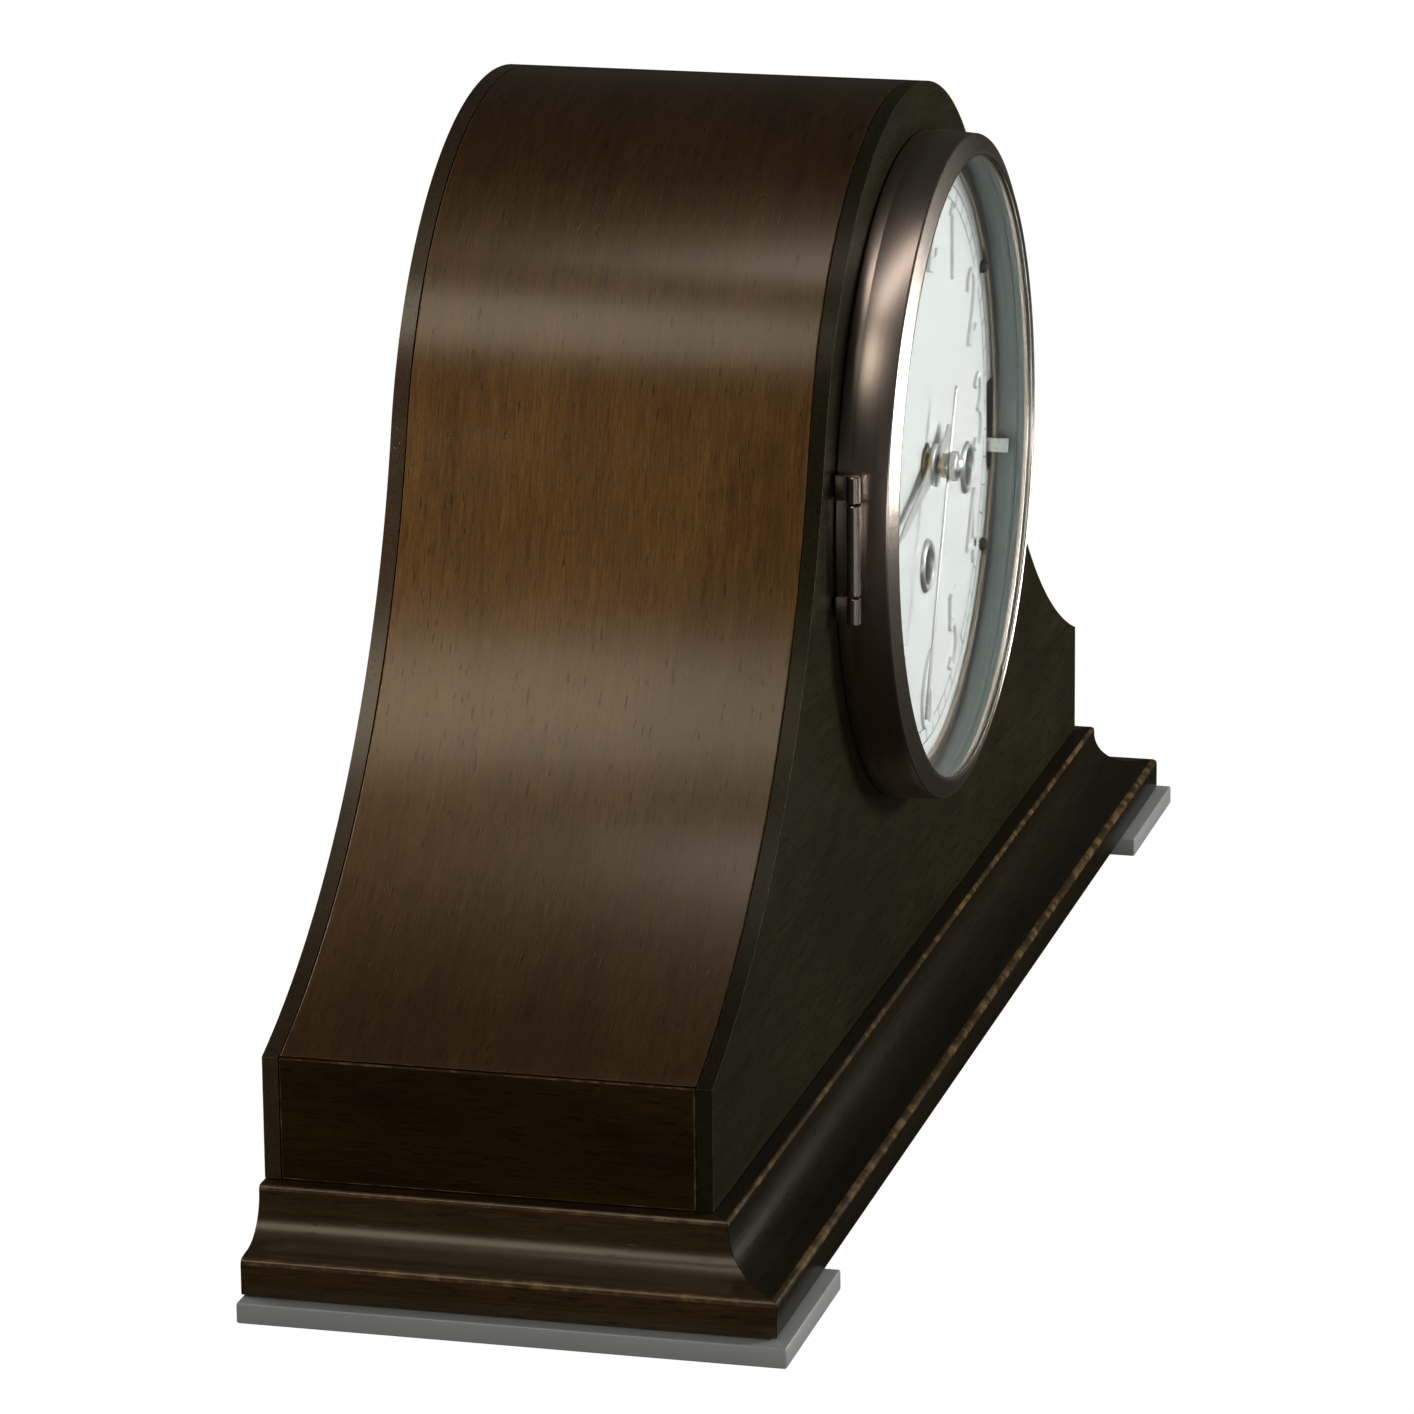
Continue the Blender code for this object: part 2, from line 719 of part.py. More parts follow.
def build_movement():
    corners = ((62.0, 30.0), (62.0, -42.0), (-62.0, 30.0), (-62.0, -42.0))
    rect = [(-69.0, -50.0), (69.0, -50.0), (69.0, 38.0), (-69.0, 38.0)]
    front_holes = [rect]
    back_holes = [rect]
    for x, z in corners:
        front_holes.append(circle(2.5 + RUN, 16, x, z))
    for x, z in WINDERS:
        front_holes.append(circle(2.5 + RUN, 16, x, z))
        back_holes.append(circle(2.0 + RUN, 16, x, z))
    front_holes.append(circle(1.5 + RUN, 16))
    front_holes.append(circle(1.2 + RUN, 16, 0.0, MOTION_SPAN))
    front_holes.append(circle(1.5 + RUN, 16, *SELECTOR))
    back_holes.append(circle(1.5 + RUN, 16))
    plate("movement_front_plate", front_holes, PLATE_T, BRASS, (0.0, PLATE_FRONT + PLATE_T, DIAL_Z))
    plate("movement_back_plate", back_holes, PLATE_T, BRASS, (0.0, PLATE_BACK + PLATE_T, DIAL_Z))
    shape = None
    for index, (x, z) in enumerate(corners):
        length = -(FRONT - DIAL_BACK) + PLATE_BACK - 2.0 * GAP
        pillar = rod("movement_pillar_%d" % (index + 1), 2.5, length, BRASS,
                     (x, PLATE_BACK - GAP, DIAL_Z + z), UPRIGHT, 16)
        if shape:
            pillar.data = shape
        shape = pillar.data
    barrel_shape = None
    arbor_shape = None
    for label, (x, z) in zip(WINDER_NAMES, WINDERS):
        profile = [
            (26.0, 6.0),
            (26.0, 4.0),
            (24.0, 3.8),
            (24.0, -20.0),
            (2.55, -20.0),
            (2.55, 6.0),
        ]
        barrel = turned("mainspring_barrel_" + label, profile, BRASS,
                        (x, PLATE_FRONT + 12.0, DIAL_Z + z), UPRIGHT, 32, closed=True)
        if barrel_shape:
            barrel.data = barrel_shape
        barrel_shape = barrel.data
        tip = -FRONT + DIAL_FACE - 1.0
        profile = [
            (0.0, tip),
            (2.2, tip),
            (2.5, tip - 0.3),
            (2.5, 3.0),
            (2.0, 2.8),
            (2.0, -1.4),
            (0.0, -1.4),
        ]
        arbor = turned("winding_arbor_" + label, profile, GREY_STEEL,
                       (x, 0.0, DIAL_Z + z), UPRIGHT, 16)
        square = 1.6
        trims = []
        for sx, sz in ((1, 0), (-1, 0), (0, 1), (0, -1)):
            cx = x + sx * (square + 5.0)
            cz = DIAL_Z + z + sz * (square + 5.0)
            low = (cx - 5.0, FRONT - 20.0, cz - 5.0)
            trims.append(box("trim", low, (cx + 5.0, FRONT + 8.0, cz + 5.0), GREY_STEEL))
        arbor = combine(arbor, trims, "DIFFERENCE")
        set_origin(arbor, (x, 0.0, DIAL_Z + z))
        if arbor_shape:
            arbor.data = arbor_shape
        arbor_shape = arbor.data

    # centre arbor with its cannon pinion, on the minute hand's axis
    cannon_y = PLATE_FRONT - 1.2
    reach = 1.0 - (FRONT - DIAL_FACE - 10.3)
    arbor = rod("centre_arbor", 1.5, reach, GREY_STEEL, (0.0, 1.0, DIAL_Z), UPRIGHT, 16)
    cannon = gear_outline(CANNON_TEETH, MODULE_1)
    pinion = plate("pinion", [rotated(cannon, 90.0)], 3.0, GREY_STEEL, (0.0, cannon_y, DIAL_Z))
    sleeve_end = cannon_y - (FRONT - DIAL_FACE - MINUTE_OUT + 0.3)
    sleeve = rod("sleeve", 2.2, sleeve_end, GREY_STEEL, (0.0, cannon_y, DIAL_Z), UPRIGHT, 24)
    arbor = combine(arbor, [pinion, sleeve], "UNION")
    set_origin(arbor, (0.0, 0.0, DIAL_Z))

    wheel = gear_outline(MINUTE_TEETH, MODULE_1)
    wheel = rotated(wheel, -90.0 + 360.0 / MINUTE_TEETH / 2.0)
    item = plate("minute_wheel", [wheel], 1.2, BRASS, (0.0, cannon_y - 0.9, DIAL_Z + MOTION_SPAN))
    pinion = gear_outline(PINION_TEETH, MODULE_2)
    pinion = rotated(pinion, -90.0)
    upper = plate("pinion", [pinion], 4.6, BRASS, (0.0, cannon_y - 1.6, DIAL_Z + MOTION_SPAN))
    stem = rod("stem", 1.2, 12.0, BRASS, (0.0, PLATE_FRONT + 4.0, DIAL_Z + MOTION_SPAN), UPRIGHT, 16)
    item = combine(item, [upper, stem], "UNION")
    set_origin(item, (0.0, 0.0, DIAL_Z + MOTION_SPAN))

    wheel = gear_outline(HOUR_TEETH, MODULE_2)
    wheel = rotated(wheel, 90.0 + 360.0 / HOUR_TEETH / 2.0)
    hour_y = cannon_y - 3.6
    bore = circle(2.2 + RUN, 24)
    item = plate("hour_wheel", [wheel, bore], 1.4, BRASS, (0.0, hour_y, DIAL_Z))
    pipe_end = -(FRONT - DIAL_FACE - 3.3)
    pipe = tube("pipe", 3.0, 2.2 + RUN, pipe_end + hour_y - 0.7, BRASS,
                (0.0, hour_y - 0.7, DIAL_Z), UPRIGHT, 24)
    item = combine(item, [pipe], "UNION")
    set_origin(item, (0.0, 0.0, DIAL_Z))


def build_selector():
    x, z = SELECTOR
    rear = PLATE_FRONT + 1.0
    length = rear - (FRONT - 2.0)
    rod("selector_stud", 1.5, length, GREY_STEEL, (x, rear, DIAL_Z + z), UPRIGHT, 16)
    tilt = UPRIGHT @ Matrix.Rotation(math.radians(SELECTOR_TILT), 4, "Z")
    outline = []
    for i in range(13):
        angle = math.radians(60.0 + 240.0 * i / 12.0)
        outline.append((3.6 * math.cos(angle), 3.6 * math.sin(angle)))
    outline += [(8.0, -2.2), (20.6, -2.2), (20.6, 2.2), (8.0, 2.2)]
    at = (x, FRONT - 1.0, DIAL_Z + z)
    hole = circle(1.5 + RUN, 16)
    arm = plate("chime_selector_lever", [outline, hole], 0.9, NICKEL, at, tilt)
    edge = [(19.7, -2.2), (20.6, -2.2), (20.6, 2.2), (19.7, 2.2)]
    tab = plate("tab", [edge], 8.6, NICKEL, at, tilt)
    lever = combine(arm, [tab], "UNION")
    set_origin(lever, (x, 0.0, DIAL_Z + z))


# ---------------------------------------------------------------- chime


def build_chime():
    block_low = (150.0, 22.0, BASE_TOP + GAP)
    block = box("chime_block", block_low, (174.0, 56.0, 58.0), IRON, bevel=1.0)
    bores = []
    for y in ROD_YS:
        bores.append(rod("bore", 1.6 + RUN, 20.0, IRON, (140.0, y, ROD_Z), ALONG_X, 16))
    combine(block, bores, "DIFFERENCE")
    for index, y in enumerate(ROD_YS):
        length = 200.0 - 12.0 * index
        rod("chime_rod_%d" % (index + 1), 1.6, length, GREY_STEEL,
            (159.5 - length, y, ROD_Z), ALONG_X, 12)
    low = (HAMMER_X - 5.0, ROD_YS[0] - 9.0, BASE_TOP + GAP)
    foot = box("hammer_bracket", low, (HAMMER_X + 5.0, ROD_YS[2] + 9.0, BASE_TOP + 2.3), GREY_STEEL)
    cheeks = []
    for y in (ROD_YS[0] - 9.0, ROD_YS[2] + 7.0):
        cheek_low = (HAMMER_X - 5.0, y, BASE_TOP + 1.0)
        cheek_high = (HAMMER_X + 5.0, y + 2.0, HAMMER_Z + 5.0)
        cheeks.append(box("cheek", cheek_low, cheek_high, GREY_STEEL))
    foot = combine(foot, cheeks, "UNION")
    bore = rod("bore", 1.5 + RUN, 80.0, GREY_STEEL, (HAMMER_X, 80.0, HAMMER_Z), UPRIGHT, 16)
    combine(foot, [bore], "DIFFERENCE")
    length = ROD_YS[2] - ROD_YS[0] + 18.4
    rod("hammer_shaft", 1.5, length, GREY_STEEL, (HAMMER_X, ROD_YS[2] + 9.2, HAMMER_Z), UPRIGHT, 16)
    shape = None
    for index, y in enumerate(ROD_YS):
        hub = tube("hammer", 3.2, 1.5 + RUN, 4.0, BRASS, (HAMMER_X, y + 2.0, HAMMER_Z), UPRIGHT, 20)
        arm = box("arm", (HAMMER_X + 2.4, y - 0.8, HAMMER_Z - 1.0), (HEAD_X, y + 0.8, HAMMER_Z + 1.0), BRASS)
        head = rod("head", 3.4, 14.0, BRASS, (HEAD_X, y, ROD_Z + 2.6), None, 16, 0.8)
        hammer = combine(hub, [arm, head], "UNION")
        hammer.name = "chime_hammer_%d" % (index + 1)
        set_origin(hammer, (HAMMER_X, y, HAMMER_Z))
        if shape:
            hammer.data = shape
        shape = hammer.data


build_case()
build_base()
build_back_door()
build_bezel()
build_dial()
build_hands()
build_movement()
build_selector()
build_chime()
bpy.context.view_layer.update()
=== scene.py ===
import math

import bmesh
import bpy
from mathutils import Matrix, Vector


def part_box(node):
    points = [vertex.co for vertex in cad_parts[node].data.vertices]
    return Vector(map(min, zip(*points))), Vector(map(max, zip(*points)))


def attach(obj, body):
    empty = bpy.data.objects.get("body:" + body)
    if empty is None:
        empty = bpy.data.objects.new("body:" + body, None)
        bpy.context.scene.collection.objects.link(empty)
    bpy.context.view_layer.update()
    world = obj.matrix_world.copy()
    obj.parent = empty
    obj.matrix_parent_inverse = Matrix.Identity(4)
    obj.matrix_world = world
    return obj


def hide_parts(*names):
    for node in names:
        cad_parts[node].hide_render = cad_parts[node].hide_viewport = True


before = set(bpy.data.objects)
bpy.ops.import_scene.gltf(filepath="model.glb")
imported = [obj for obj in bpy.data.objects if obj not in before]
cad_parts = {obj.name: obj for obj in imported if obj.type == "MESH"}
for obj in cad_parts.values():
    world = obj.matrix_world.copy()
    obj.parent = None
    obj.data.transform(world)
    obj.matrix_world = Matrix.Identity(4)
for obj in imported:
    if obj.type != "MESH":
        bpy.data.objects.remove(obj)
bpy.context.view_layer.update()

MM = 0.001

# ---------------------------------------------------------------- measures taken from the frame

PANEL_LOW, PANEL_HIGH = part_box("front_panel")
BACK_LOW, BACK_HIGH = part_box("back_panel")
BLOCK_LOW, BLOCK_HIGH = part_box("left_end_block")
SHEET_LOW, SHEET_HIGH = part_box("curved_shell")
SIDE_LOW, SIDE_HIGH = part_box("left_moulding")
DIAL_LOW, DIAL_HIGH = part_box("dial_plate")
RING_LOW, RING_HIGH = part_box("bezel_back_ring")
HOOP_LOW, HOOP_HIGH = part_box("bezel_hoop")

FRONT = PANEL_LOW.y
HALF = PANEL_HIGH.x
SHOULDER = BLOCK_HIGH.z
DIAL_Z = (DIAL_LOW.z + DIAL_HIGH.z) / 2.0
CROWN = PANEL_HIGH.z - DIAL_Z
FLARE_ANGLE = math.radians(75.0)
SHEET = 6.0 * MM
DIAL_FACE = DIAL_LOW.y
DIAL_AXIS = (0.0, FRONT, DIAL_Z)
HINGE = Vector((-101.8 * MM, FRONT - 6.5 * MM, DIAL_Z))
KNUCKLE_FEET = (13.8 * MM, -21.6 * MM)
HOUR_TURN = 256.0
MINUTE_TURN = 204.5
SELECTOR_TILT = -10.4
RIM_STEPS = 256
DIAL_OPENING = 82.0 * MM


# ---------------------------------------------------------------- mesh helpers


def keep(name, work, sharp, paint, body, slot, *stands_for):
    """Finished piece: plain mesh at the origin, sharp past an angle, riding on a body of the frame."""
    mesh = bpy.data.meshes.new(name)
    work.to_mesh(mesh)
    work.free()
    mesh.shade_smooth()
    mesh.set_sharp_from_angle(angle=math.radians(sharp))
    piece = bpy.data.objects.new(name, mesh)
    bpy.context.scene.collection.objects.link(piece)
    mesh.materials.append(paint)
    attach(piece, body)
    if stands_for:
        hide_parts(*stands_for)


def wear_layer(work):
    return work.faces.layers.float.get("wear") or work.faces.layers.float.new("wear")


def outline_solid(loops, thickness):
    """Welded bmesh of flat loops with holes, from z = 0 up to the thickness."""
    curve = bpy.data.curves.new("outline", "CURVE")
    curve.dimensions = "2D"
    curve.fill_mode = "BOTH"
    curve.extrude = thickness / 2.0
    for loop in loops:
        spline = curve.splines.new("POLY")
        spline.points.add(len(loop) - 1)
        for point, (x, z) in zip(spline.points, loop):
            point.co = (x, z, 0.0, 1.0)
        spline.use_cyclic_u = True
    holder = bpy.data.objects.new("outline", curve)
    bpy.context.scene.collection.objects.link(holder)
    graph = bpy.context.evaluated_depsgraph_get()
    flat = bpy.data.meshes.new_from_object(holder.evaluated_get(graph))
    work = bmesh.new()
    work.from_mesh(flat)
    bmesh.ops.remove_doubles(work, verts=work.verts, dist=1e-6)
    bmesh.ops.translate(work, vec=(0.0, 0.0, thickness / 2.0), verts=work.verts)
    bmesh.ops.recalc_face_normals(work, faces=work.faces)
    bpy.data.objects.remove(holder)
    bpy.data.curves.remove(curve)
    bpy.data.meshes.remove(flat)
    return work


def soften(work, width, angle=40.0, segments=2, worn=1.0):
    """Bevel the sharp edges and mark the new faces as worn."""
    layer = wear_layer(work)
    limit = math.radians(angle)
    edges = [e for e in work.edges if e.is_manifold and e.calc_face_angle(0.0) > limit]
    made = bmesh.ops.bevel(
        work, geom=edges, offset=width, segments=segments, profile=0.5,
        affect="EDGES", clamp_overlap=True)
    for face in made["faces"]:
        face[layer] = worn
    return work


def face_forward(work, y_rear):
    """Turn local z to point out of the dial and set the rear face's depth."""
    bmesh.ops.transform(
        work, matrix=Matrix.Translation((0.0, y_rear, 0.0)) @ Matrix.Rotation(math.pi / 2.0, 4, "X"),
        verts=work.verts)
    return work


def block(low, high):
    work = bmesh.new()
    bmesh.ops.create_cube(work, size=1.0)
    size = Vector(high) - Vector(low)
    bmesh.ops.scale(work, vec=size, verts=work.verts)
    bmesh.ops.translate(work, vec=(Vector(high) + Vector(low)) / 2.0, verts=work.verts)
    return work


def lathe(profile, steps, centre, axis="Y", closed=True):
    """Revolve (radius, forward) points; forward is -Y for axis Y and +Z for axis Z."""
    work = bmesh.new()
    rings = []
    for radius, ahead in profile:
        if radius < 1e-7:
            spot = (0.0, -ahead, 0.0) if axis == "Y" else (0.0, 0.0, ahead)
            rings.append([work.verts.new(spot)])
            continue
        ring = []
        for i in range(steps):
            turn = 2.0 * math.pi * i / steps
            a = radius * math.cos(turn)
            b = radius * math.sin(turn)
            ring.append(work.verts.new((a, -ahead, b) if axis == "Y" else (a, b, ahead)))
        rings.append(ring)
    count = len(rings)
    for k in range(count if closed else count - 1):
        one = rings[k]
        two = rings[(k + 1) % count]
        if len(one) == 1 and len(two) == 1:
            continue
        for i in range(steps):
            j = (i + 1) % steps
            if len(one) == 1:
                work.faces.new((one[0], two[i], two[j]))
            elif len(two) == 1:
                work.faces.new((one[i], two[0], one[j]))
            else:
                work.faces.new((one[i], two[i], two[j], one[j]))
    bmesh.ops.recalc_face_normals(work, faces=work.faces)
    bmesh.ops.translate(work, vec=centre, verts=work.verts)
    return work


def rounded(profile, radius, steps=4):
    """Round the convex and concave corners of a closed (radius, ahead) profile."""
    points = []
    count = len(profile)
    for i, (x, y) in enumerate(profile):
        before = Vector(profile[i - 1]) - Vector((x, y))
        after = Vector(profile[(i + 1) % count]) - Vector((x, y))
        cut = min(radius, before.length * 0.45, after.length * 0.45)
        start = Vector((x, y)) + before.normalized() * cut
        end = Vector((x, y)) + after.normalized() * cut
        for k in range(steps + 1):
            t = k / steps
            mid = Vector((x, y))
            spot = start * (1 - t) ** 2 + mid * 2 * t * (1 - t) + end * t ** 2
            points.append((spot.x, spot.y))
    return points


def turned(section, steps, centre, radius=None, turns=4, closed=True):
    """Revolve a (radius, ahead) section given in millimetres, its corners rounded if asked."""
    profile = [(r * MM, a * MM) for r, a in section]
    if radius is not None:
        profile = rounded(profile, radius * MM, turns)
    return lathe(profile, steps, centre, closed=closed)


def scaled(points):
    return [(x * MM, z * MM) for x, z in points]


def merged(*works):
    """Put several bmeshes into one."""
    total = bmesh.new()
    wear_layer(total)
    for work in works:
        scratch = bpy.data.meshes.new("scratch")
        work.to_mesh(scratch)
        work.free()
        total.from_mesh(scratch)
        bpy.data.meshes.remove(scratch)
    return total


def circle(radius, count, cx=0.0, cz=0.0):
    turns = [2.0 * math.pi * i / count for i in range(count)]
    return [(cx + radius * math.cos(turn), cz + radius * math.sin(turn)) for turn in turns]


# ---------------------------------------------------------------- finishes


class NodeWork:
    """Adds nodes to a tree; sockets are given by name or number, as links or as values."""

    def __init__(self, tree):
        self.tree = tree

    def feed(self, socket, value):
        if isinstance(value, bpy.types.NodeSocket):
            self.tree.links.new(value, socket)
        else:
            socket.default_value = value

    def node(self, kind, sockets=None, **settings):
        made = self.tree.nodes.new(kind)
        for key, value in settings.items():
            setattr(made, key, value)
        for key, value in (sockets or {}).items():
            self.feed(made.inputs[key], value)
        return made

    def maths(self, operation, one, two=0.0):
        return self.node("ShaderNodeMath", {0: one, 1: two}, operation=operation).outputs[0]

    def mixed(self, factor, one, two):
        return self.node("ShaderNodeMixShader", {0: factor, 1: one, 2: two}).outputs[0]


class Finish(NodeWork):
    """A procedural material under construction."""

    def __init__(self, name, colour, rough, metal=0.0):
        self.paint = bpy.data.materials.new(name)
        self.paint.use_nodes = True
        super().__init__(self.paint.node_tree)
        self.shader = self.tree.nodes["Principled BSDF"]
        self.set(("Base Color", (*colour, 1.0)), ("Roughness", rough), ("Metallic", metal))

    def set(self, *pairs):
        for name, value in pairs:
            self.shader.inputs[name].default_value = value

    def surface(self, shader):
        self.tree.links.new(shader, self.tree.nodes["Material Output"].inputs[0])

    def link(self, socket, name):
        self.tree.links.new(socket, self.shader.inputs[name])

    def coordinates(self, scale=(1.0, 1.0, 1.0), uv=None, shift=(0.0, 0.0, 0.0)):
        if uv:
            source = self.node("ShaderNodeUVMap", uv_map=uv).outputs["UV"]
        else:
            source = self.node("ShaderNodeTexCoord").outputs["Object"]
        made = self.node("ShaderNodeMapping", {"Vector": source, "Scale": scale, "Location": shift})
        return made.outputs["Vector"]

    def noise(self, vector, scale, detail=3.0, rough=0.55, distortion=0.0):
        made = self.node("ShaderNodeTexNoise", {
            "Vector": vector, "Scale": scale, "Detail": detail, "Roughness": rough, "Distortion": distortion})
        return made.outputs["Fac"]

    def ramp(self, factor, stops):
        made = self.node("ShaderNodeValToRGB", {"Fac": factor})
        elements = made.color_ramp.elements
        while len(elements) > 1:
            elements.remove(elements[-1])
        elements[0].position = stops[0][0]
        elements[0].color = stops[0][1]
        for position, colour in stops[1:]:
            elements.new(position).color = colour
        return made.outputs["Color"]

    def grey_ramp(self, factor, *pairs):
        return self.ramp(factor, [(p, (v, v, v, 1.0)) for p, v in pairs])

    def mix(self, factor, one, two, blend="MIX"):
        sockets = {0: factor, 6: one, 7: two}
        return self.node("ShaderNodeMix", sockets, data_type="RGBA", blend_type=blend).outputs[2]

    def span(self, factor, low, high):
        made = self.node("ShaderNodeMapRange", {"Value": factor, "To Min": low, "To Max": high})
        return made.outputs["Result"]

    def bump(self, height, strength, distance):
        made = self.node("ShaderNodeBump", {"Height": height, "Strength": strength, "Distance": distance})
        self.link(made.outputs["Normal"], "Normal")


def stained_wood(name, along, stain, uv=None, shift=(0.0, 0.0, 0.0), shade=None, coat=0.32, gloss=0.50):
    """Espresso stain under satin lacquer; along is the grain's axis: 0, 1 or 2."""
    made = Finish(name, stain, 0.38)

    def stretched(share):
        scale = [1.0, 1.0, 1.0]
        scale[along] = share
        return made.coordinates(tuple(scale), uv=uv, shift=shift)

    grain = stretched(0.06)
    broad = stretched(0.25)
    plain = stretched(1.0)
    fibre = made.noise(grain, 1700.0, 4.0, 0.62, 0.15)
    streak = made.noise(grain, 380.0, 3.0, 0.55, 0.5)
    figure = made.noise(broad, 24.0, 5.0, 0.55, 1.8)
    cloud = made.noise(plain, 8.0, 3.0, 0.5, 0.3)
    fleck = made.noise(broad, 2300.0, 2.0, 0.5)
    pores = made.grey_ramp(made.noise(stretched(0.16), 900.0, 2.0, 0.45), (0.66, 0.0), (0.72, 1.0))
    tone = made.maths("ADD", made.maths("MULTIPLY", figure, 0.42), made.maths("MULTIPLY", cloud, 0.33))
    tone = made.maths("ADD", tone, made.maths("MULTIPLY", streak, 0.25))
    dark = tuple(c * k for c, k in zip(stain, (0.52, 0.47, 0.42)))
    light = tuple(c * k for c, k in zip(stain, (1.42, 1.50, 1.62)))
    colour = made.ramp(tone, [(0.33, (*dark, 1.0)), (0.50, (*stain, 1.0)), (0.67, (*light, 1.0))])
    colour = made.mix(1.0, colour, made.grey_ramp(fibre, (0.30, 0.66), (0.70, 1.34)), "MULTIPLY")
    colour = made.mix(1.0, colour, made.grey_ramp(fleck, (0.35, 0.86), (0.65, 1.12)), "MULTIPLY")
    deep = tuple(c * 0.22 for c in stain)
    colour = made.mix(made.maths("MULTIPLY", pores, 0.75), colour, (*deep, 1.0))
    # A shade function multiplies painted shade into the stain colour.
    if shade:
        colour = made.mix(1.0, colour, shade(made), "MULTIPLY")
    worn = made.node("ShaderNodeAttribute", attribute_name="wear").outputs["Fac"]
    patch = made.grey_ramp(made.noise(plain, 170.0, 4.0, 0.6), (0.47, 0.0), (0.63, 1.0))
    rubbed = made.maths("MULTIPLY", worn, made.maths("ADD", made.maths("MULTIPLY", patch, 0.8), 0.2))
    colour = made.mix(made.maths("MULTIPLY", rubbed, 0.6), colour, (0.21, 0.125, 0.052, 1.0))
    made.link(colour, "Base Color")
    made.link(made.span(fibre, 0.24, 0.34), "Roughness")
    made.set(("Coat Weight", coat), ("Coat Roughness", 0.20), ("Specular IOR Level", gloss),
             ("Specular Tint", (1.0, 0.88, 0.66, 1.0)), ("Coat Tint", (1.0, 0.95, 0.86, 1.0)))
    height = made.maths("SUBTRACT", made.maths("MULTIPLY", fibre, 0.35), pores)
    made.bump(height, 0.30, 0.0001)
    return made.paint


def toner_on_the_bend(made):
    """Painted shade: darker over the crown and towards the shoulders, where less light falls."""
    parts = made.node("ShaderNodeSeparateXYZ", {"Vector": made.coordinates()})
    height = made.maths("DIVIDE", parts.outputs["Z"], 0.30)
    return made.grey_ramp(
        height, (0.22, 0.46), (0.33, 0.66), (0.44, 0.90), (0.56, 1.0), (0.74, 1.0), (0.86, 0.76),
        (0.93, 0.46), (0.98, 0.30))


BRUSHING = {"x": (0.02, 1.0, 1.0), "z": (1.0, 1.0, 0.02), "none": (1.0, 1.0, 1.0)}


def brushed_metal(name, colour, rough, lines="none", tint=(1.0, 1.0, 1.0), spread=0.10, bump=0.25,
                  contrast=0.14):
    """Plated metal with fine brushing; lines is an axis, none, or round for circles about the dial."""
    made = Finish(name, colour, rough, 1.0)
    if lines == "round":
        centred = made.coordinates(shift=(0.0, 0.0, -DIAL_Z))
        parts = made.node("ShaderNodeSeparateXYZ", {"Vector": centred})
        flat = made.node("ShaderNodeCombineXYZ", {"X": parts.outputs["X"], "Y": parts.outputs["Z"]})
        radius = made.node("ShaderNodeVectorMath", {0: flat.outputs[0]}, operation="LENGTH").outputs["Value"]
        angle = made.maths("ARCTAN2", parts.outputs["Z"], parts.outputs["X"])
        around = made.maths("MULTIPLY", angle, 0.0016)
        joined = made.node("ShaderNodeCombineXYZ", {"X": radius, "Y": parts.outputs["Y"], "Z": around})
        vector = joined.outputs[0]
    else:
        vector = made.coordinates(BRUSHING[lines])
    fine = made.noise(vector, 5200.0, 3.0, 0.65)
    coarse = made.noise(vector, 900.0, 3.0, 0.5)
    cloud = made.noise(made.coordinates(), 22.0, 3.0, 0.5)
    low = tuple(c * (1.0 - contrast) for c in colour)
    high = tuple(min(1.0, c * (1.0 + contrast)) for c in colour)
    tinted = tuple(c * t for c, t in zip(colour, tint))
    colours = made.ramp(coarse, [(0.35, (*low, 1.0)), (0.65, (*high, 1.0))])
    colours = made.mix(made.maths("MULTIPLY", cloud, 0.35), colours, (*tinted, 1.0))
    made.link(colours, "Base Color")
    blend = made.maths("ADD", made.maths("MULTIPLY", fine, 0.6), made.maths("MULTIPLY", cloud, 0.4))
    made.link(made.span(blend, rough - spread, rough + spread), "Roughness")
    made.bump(fine, bump, 0.00003)
    return made.paint


def satin_paint(name, colour, rough, grain=2600.0, bump=0.1, metal=0.0):
    """Sprayed or enamelled surface with a very fine orange peel."""
    made = Finish(name, colour, rough, metal)
    plain = made.coordinates()
    peel = made.noise(plain, grain, 2.0, 0.5)
    cloud = made.noise(plain, 30.0, 3.0, 0.5)
    low = tuple(c * 0.965 for c in colour)
    made.link(made.ramp(cloud, [(0.35, (*low, 1.0)), (0.65, (*colour, 1.0))]), "Base Color")
    made.link(made.span(peel, rough - 0.05, rough + 0.07), "Roughness")
    made.bump(peel, bump, 0.00004)
    return made.paint


def clear_glass(name):
    """Thin clear pane that lets lamp light through to the dial."""
    made = Finish(name, (0.97, 0.99, 0.985), 0.02)
    made.set(("Transmission Weight", 1.0), ("IOR", 1.45))
    haze = made.noise(made.coordinates(), 18.0, 3.0, 0.5)
    made.link(made.span(haze, 0.0, 0.03), "Roughness")
    tint = made.ramp(haze, [(0.3, (0.955, 0.985, 0.975, 1.0)), (0.7, (0.985, 0.995, 0.99, 1.0))])
    made.link(tint, "Base Color")
    clear = made.node("ShaderNodeBsdfTransparent", {"Color": (0.95, 0.97, 0.965, 1.0)}).outputs[0]
    lamp = made.node("ShaderNodeLightPath").outputs["Is Shadow Ray"]
    made.surface(made.mixed(lamp, made.shader.outputs[0], clear))
    return made.paint
